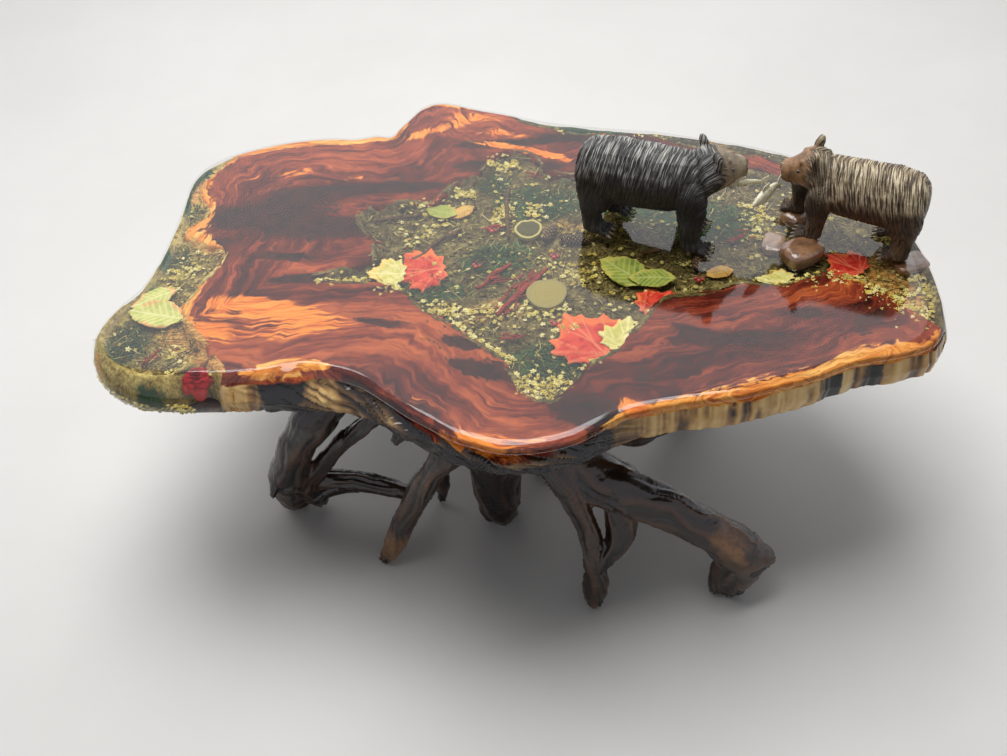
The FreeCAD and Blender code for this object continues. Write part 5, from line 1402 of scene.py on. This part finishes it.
fishForm = [(-0.44, 0.16), (-0.36, 0.28), (-0.10, 0.48), (0.20, 0.44), (0.38, 0.26), (0.45, 0.14)]
bearLooks = {
    "left": {
        "place": (0.197, -0.007), "turn": -27.0, "size": (0.255, 0.088, 0.146), "neck": (0.185, 0.760),
        "headTurn": 40.0, "feet": [(-0.390, -0.30), (0.190, -0.30), (-0.335, 0.30), (0.110, 0.30)],
        "lifted": (), "slot": "dark_bear",
        "groove": (0.0035, 0.0035, 0.0035), "strand": (0.048, 0.042, 0.036),
        # dry-brushed tips with a painted sheen: the brightest colour also stands in for light catching
        # the back
        "brushedAndSheen": ((0.008, 0.008, 0.008), (0.100, 0.097, 0.088), (0.56, 0.55, 0.50)),
        # blaze: the heights, as shares of the bear's height, over which the dry brushing and a painted
        # top light fade in
        "face": (0.38, 0.30, 0.20), "blaze": (0.48, 1.10),
        "fishTurn": 165.0, "fishAt": (0.004, 0.017), "fishDepth": 0.013,
    },
    "right": {
        "place": (0.406, -0.070), "turn": 151.6, "size": (0.212, 0.082, 0.130), "neck": (0.170, 0.780),
        "headTurn": 4.0, "feet": [(-0.405, 0.30), (0.170, 0.32), (-0.330, -0.30), (0.330, -0.32)],
        "lifted": (1, 3), "slot": "tan_bear",
        "groove": (0.008, 0.006, 0.005), "strand": (0.15, 0.088, 0.046),
        # dry-brushed tips with a painted sheen: the brightest colour also stands in for light catching
        # the back
        "brushedAndSheen": ((0.045, 0.030, 0.018), (0.32, 0.24, 0.14), (0.80, 0.68, 0.47)),
        # blaze: the heights, as shares of the bear's height, over which the dry brushing and a painted
        # top light fade in
        "face": (0.35, 0.19, 0.090), "blaze": (0.42, 0.84),
        "fishTurn": 69.0, "fishAt": (0.050, 0.0), "fishDepth": 0.022,
    },
}


def bearCoat(name, look):
    f = Finish(name)
    fur, light, face, claw, across, down = f.marks("fur", "light", "face", "claw", "across", "down")
    patch, fine = f.noise(42, 5, 0.6), f.noise(300, 3)
    stroke = f.noise(1, 3, 0.6, 0.1, f.joined(across * 620, down * 30, 0))
    tone = stroke * 0.82 + fur * 0.18
    colour = tone.ramp((0.44, look["groove"]), (0.60, look["strand"]))
    # dry brushing with a painted sheen, laid where the light mark is high: the top and rump are painted
    # lighter as if lit from above
    brushedAndSheen = tone.ramp(*zip((0.45, 0.52, 0.60), look["brushedAndSheen"]))
    colour = f.mix((light * 1.1 + (patch - 0.5) * 1.4).between(0.15, 0.95), colour, brushedAndSheen)
    skin = f.noise(55, 6, 0.65).ramp((0.36, [0.35 * c for c in look["face"]]), (0.62, look["face"]))
    colour = f.mix(face, colour, skin)
    colour = f.mix(claw, colour, (0.50, 0.45, 0.36))
    return f.done(f.surface(baseColor=colour, roughness=0.45 - face * 0.08, coatWeight=0.15,
                            coatRoughness=0.2, shine=0.3,
                            normal=f.bump(stroke * (1 - face) + fine * 0.1, 1.0, 0.004)))


def bearPlace(look):
    size = np.array(look["size"])
    base = np.array([look["place"][0] * slabLength, look["place"][1] * slabWidth, tableTop])
    neck = np.array([look["neck"][0], 0, look["neck"][1]]) * size
    return size, spin(look["turn"]), base, neck, spin(look["headTurn"])


def makeBear(side, look):
    size, turn, base, neck, headTurn = bearPlace(look)
    length, width, height = size
    level = np.eye(3)
    rows = []
    for x, z, halfWidth, halfHeight in sections(bearForms["trunk"], 64):
        rows.append((np.array([x, 0, z]) * size, np.array([0.042, halfWidth, halfHeight]) * size, level))
    for x, z, halfWidth, halfHeight in sections(bearForms["head"], 40):
        centre = neck + headTurn @ (np.array([x, 0, z]) * size)
        rows.append((centre, np.array([0.034, halfWidth, halfHeight]) * size, headTurn))
    for flank in (-1, 1):
        ear, brow = (np.array(bearForms[key]) * (1, flank, 1) * size for key in ("ear", "brow"))
        rows.append((neck + headTurn @ ear, (0.0062, 0.0105, 0.0125), headTurn @ spin(-18, "Y")))
        rows.append((neck + headTurn @ (ear - (0, 0, 0.010)), (0.0075, 0.0095, 0.0100), headTurn))
        rows.append((neck + headTurn @ brow, np.array([0.030, 0.075, 0.040]) * size, headTurn))
    tip = neck + headTurn @ (np.array(bearForms["nose"]) * size)
    rows.append((tip, np.array([0.020, 0.085, 0.052]) * size, headTurn))
    claws = []
    for index, (footX, footY) in enumerate(look["feet"]):
        raised = bearForms["pawLift"] if index in look["lifted"] else 0
        for x, z, halfLength, halfWidth in sections(bearForms["leg"], 30):
            reach = min(0.075, z)
            rows.append((np.array([(footX + x) * length, footY * width, z * (height - raised) + raised]),
                         np.array([halfLength * length, halfWidth * width, reach * height]), level))
        hind = index in (0, 2)
        shift, lift = (0.02, 0.48) if hind else (-0.01, 0.58)
        thigh = (0.115, 0.21, 0.27) if hind else (0.095, 0.21, 0.22)
        rows.append((np.array([footX + shift, footY * 0.90, lift]) * size, np.array(thigh) * size, level))
        for toe in (-0.115, -0.040, 0.040, 0.115):
            knuckle = np.array([(footX + 0.082) * length, (footY + toe) * width, raised + 0.0048])
            rows.append((knuckle, (0.0095, 0.0036, 0.0050), spin(toe * 160)))
            claw = knuckle + spin(toe * 160) @ (0.0105, 0, -0.0015)
            rows.append((claw, (0.0060, 0.0016, 0.0019), spin(toe * 160) @ spin(18, "Y")))
            claws.append(claw)
    bear = grownForm(side + "Bear", rows, 0.0010, 8, bearCoat(side + "BearCoat", look))
    co, normals = readMesh(bear)
    inHead = (co - neck) @ headTurn / size
    share = co / size
    ahead = smoothStep(0.10, 0.24, share[:, 0])
    fromAxis = np.column_stack([share[:, 1] * width, (share[:, 2] - 0.55) * height])
    arc = np.arctan2(fromAxis[:, 0], fromAxis[:, 1]) * 0.055  # metres down from the spine on either flank
    lean = 0.18 + 0.75 * ahead
    sway = layeredNoise(co, 0.045, 51) * 0.0035
    flank = np.column_stack([co[:, 0] + lean * np.abs(arc) + sway, arc * 0.07, np.zeros(len(co))])
    leg = np.column_stack([co[:, :2] + sway[:, None], co[:, 2] * 0.07])
    below = 1 - smoothStep(0.28, 0.50, share[:, 2])
    hair = [(1 - below) * ridges(flank, step, seed) + below * ridges(leg, step, seed + 4)
            for step, seed in ((0.0019, 52), (0.0013, 53))]
    fur = 0.65 * hair[0] + 0.35 * hair[1]
    face = smoothStep(0.085, 0.12, inHead[:, 0] + 0.03 * hair[1]) * smoothStep(-0.13, -0.06, inHead[:, 2])
    tuft = smoothStep(0.04, 0.10, inHead[:, 0]) * (1 - face) * smoothStep(-0.3, 0.0, inHead[:, 2])
    nose = np.exp(-(((inHead - (0.290, 0, 0.03)) / (0.020, 0.11, 0.055)) ** 2).sum(1))
    nails = np.zeros(len(co))
    for claw in claws:
        nails = np.maximum(nails, np.exp(-(((co - claw) / 0.0042) ** 2).sum(1) ** 2))
    smooth = np.maximum(face, nails)
    lips = np.exp(-((inHead[:, 2] + 0.085) / 0.010) ** 2) * smoothStep(0.17, 0.20, inHead[:, 0])
    move = (fur - 0.15) * (0.00085 + 0.0008 * tuft) * (1 - smooth)
    move = move + layeredNoise(co, 0.03, 54) * 0.0010 - lips * 0.0016
    co = co + normals * move[:, None]
    co[:, 2] = np.maximum(co[:, 2], 0)
    # the light mark is painted top light mixed with dry brushing: it grows with height and towards the
    # rump
    low, high = look["blaze"]
    light = smoothStep(low, high, share[:, 2]) * (0.75 + 0.25 * smoothStep(0.35, -0.3, share[:, 0]))
    across = (1 - below) * flank[:, 0] + below * (leg[:, 0] + leg[:, 1] * 0.7)
    down = (1 - below) * arc + below * co[:, 2]
    setMarks(bear, fur=np.clip(0.5 + fur * 0.42, 0, 1), light=light, face=face * (1 - 0.9 * nose),
             claw=nails * 0.8, across=across, down=down)
    setPlaces(bear, co @ turn.T + base)
    carry(bear, look["slot"], side + "_bear")


def makeFish(side, look):
    size, turn, base, neck, headTurn = bearPlace(look)
    length, depth = 0.064, look["fishDepth"]
    rows, level = [], np.eye(3)
    for along, reach in sections(fishForm, 22):
        girth = np.array([0.05 * length, reach * depth * 0.62, reach * depth])
        rows.append((np.array([along * length, 0, 0]), girth, level))
    for tip in (1, -1):  # tail
        lobe = np.array([0.115 * length, 0.0011, 0.13 * depth])
        rows.append((np.array([-0.56 * length, 0, tip * 0.32 * depth]), lobe, spin(tip * 40, "Y")))
    for along in (-0.08, 0.0, 0.08):  # back fin
        fin = np.array([0.075 * length, 0.0011, 0.16 * depth])
        rows.append((np.array([along * length, 0, 0.60 * depth]), fin, spin(28, "Y")))
    for wing in (-1, 1):  # side fins
        rows.append((np.array([0.14 * length, wing * 0.30 * depth, -0.34 * depth]),
                     np.array([0.07 * length, 0.22 * depth, 0.0012]), spin(wing * 30, "X")))
    finish = mottledFinish(side + "FishPaint", (0.56, 0.50, 0.30), (0.86, 0.84, 0.66), 90, 0.4, 0.4, 0.3)
    fish = grownForm(side + "BearFish", rows, 0.0008, 1, finish)
    co, normals = readMesh(fish)
    drawn = np.column_stack([co[:, 0] + np.abs(co[:, 2]) * 0.5, co[:, 1] * 0.2, co[:, 2]])
    scales = ridges(drawn, 0.0026, 58)
    co = co + normals * (scales * 0.00015)[:, None] + (*look["fishAt"], 0)
    mouth = np.array(bearForms["mouth"]) * size
    co = co @ spin(look["fishTurn"]).T + mouth
    setPlaces(fish, (neck + co @ headTurn.T) @ turn.T + base)
    carry(fish, "fish", side + "_bear_fish")


for bearSide, bearLook in bearLooks.items():
    makeBear(bearSide, bearLook)
    makeFish(bearSide, bearLook)
print("bears made")


# floor, light and camera

stageLook = {
    "floor": ((0.71, 0.70, 0.675), (0.77, 0.76, 0.735)),
    "backdrop": (0.80, 0.81, 0.88),
    "fill": 0.16,  # strength of the light from all round
    "lamps": {  # place, aim, width, height and power
        "softBox": ((-0.15, 0.40, 3.2), (0, 0, 0.4), 2.0, 2.0, 92),
        "backPanel": ((-0.5, 2.6, 2.8), (0, 0, 0.4), 6.4, 3.0, 66),
    },
}


def makeStage():
    f = Finish("paleFloor")
    cloud = f.noise(1.6, 5, 0.6)
    colour = cloud.ramp((0.3, stageLook["floor"][0]), (0.7, stageLook["floor"][1]))
    floorFinish = f.done(f.surface(baseColor=colour, roughness=0.75))
    reach = 9.0
    corners = [(-reach, -reach, 0), (reach, -reach, 0), (reach, reach, 0), (-reach, reach, 0)]
    floor = meshPiece("floor", corners, [(0, 1, 2, 3)], floorFinish)
    floor.location.z = -0.0004
    w = Finish("studio", world=True)
    rays = ("Is Camera Ray", "Is Glossy Ray", "Is Transmission Ray")
    seen = [w.node("ShaderNodeLightPath", pick=ray) for ray in rays]
    fill = w.node("ShaderNodeBackground", {}, {"Color": (0.95, 0.96, 1.0), "Strength": stageLook["fill"]})
    pale = w.node("ShaderNodeBackground", {}, {"Color": stageLook["backdrop"], "Strength": 1.0})
    lit = w.node("ShaderNodeMixShader", {}, [seen[0] + seen[1] + seen[2], fill, pale])
    bpy.context.scene.world = w.done(lit)
    for name, (place, aim, width, height, power) in stageLook["lamps"].items():
        lamp = bpy.data.lights.new(name, "AREA")
        lamp.shape, lamp.size, lamp.size_y, lamp.energy = "RECTANGLE", width, height, power
        holder = bpy.data.objects.new(name, lamp)
        holder.location = place
        holder.rotation_euler = (Vector(aim) - Vector(place)).to_track_quat("-Z", "Y").to_euler()
        bpy.context.scene.collection.objects.link(holder)


cameraLook = {"place": (-0.0175, -1.3085, 1.55), "pitch": 46.354, "roll": -5.939,
              "photoWidth": 1007, "focalPixels": 1150, "sensor": 36}


def makeCamera():
    pitch, roll = math.radians(cameraLook["pitch"]), math.radians(cameraLook["roll"])
    forward = Vector((0, math.cos(pitch), -math.sin(pitch)))
    level, up = Vector((1, 0, 0)), Vector((0, math.sin(pitch), math.cos(pitch)))
    right = level * math.cos(roll) + up * math.sin(roll)
    top = up * math.cos(roll) - level * math.sin(roll)
    lens = bpy.data.cameras.new("camera")
    lens.sensor_width = cameraLook["sensor"]
    lens.lens = cameraLook["sensor"] * cameraLook["focalPixels"] / cameraLook["photoWidth"]
    camera = bpy.data.objects.new("camera", lens)
    turned = Matrix((right, top, -forward)).transposed().to_4x4()
    camera.matrix_world = Matrix.Translation(cameraLook["place"]) @ turned
    bpy.context.scene.collection.objects.link(camera)
    bpy.context.scene.camera = camera


def brushedSteel():
    f = Finish("brushedSteel")
    scratch = f.noise(240, 4, 0.6, 0, f.stretched((0.05, 1, 1)))
    colour = scratch.ramp((0.3, (0.32, 0.32, 0.33)), (0.7, (0.55, 0.55, 0.56)))
    return f.done(f.surface(baseColor=colour, metallic=1.0, roughness=0.3 + scratch * 0.2))


def dressFrame():  # eyes, pins and the fixings keep their own solids
    finishes = {
        "dowel": mottledFinish("beechDowel", (0.42, 0.27, 0.14), (0.60, 0.43, 0.26), 60),
        "steel": brushedSteel(),
        "eye": mottledFinish("blackBead", (0.004, 0.004, 0.004), (0.012, 0.011, 0.010), 90,
                             rough=0.08, bump=0.05, coat=0.6),
    }
    slots = {row["node"]: row["material_slot"] for row in frame["record"]["subparts"]}
    for name, node in frame["nodes"].items():
        if not node.hide_render:
            node.data.materials.clear()
            node.data.materials.append(finishes[slots[name]])


makeStage()
makeCamera()
dressFrame()
bpy.context.scene.view_settings.view_transform = "Standard"
print("stage made")
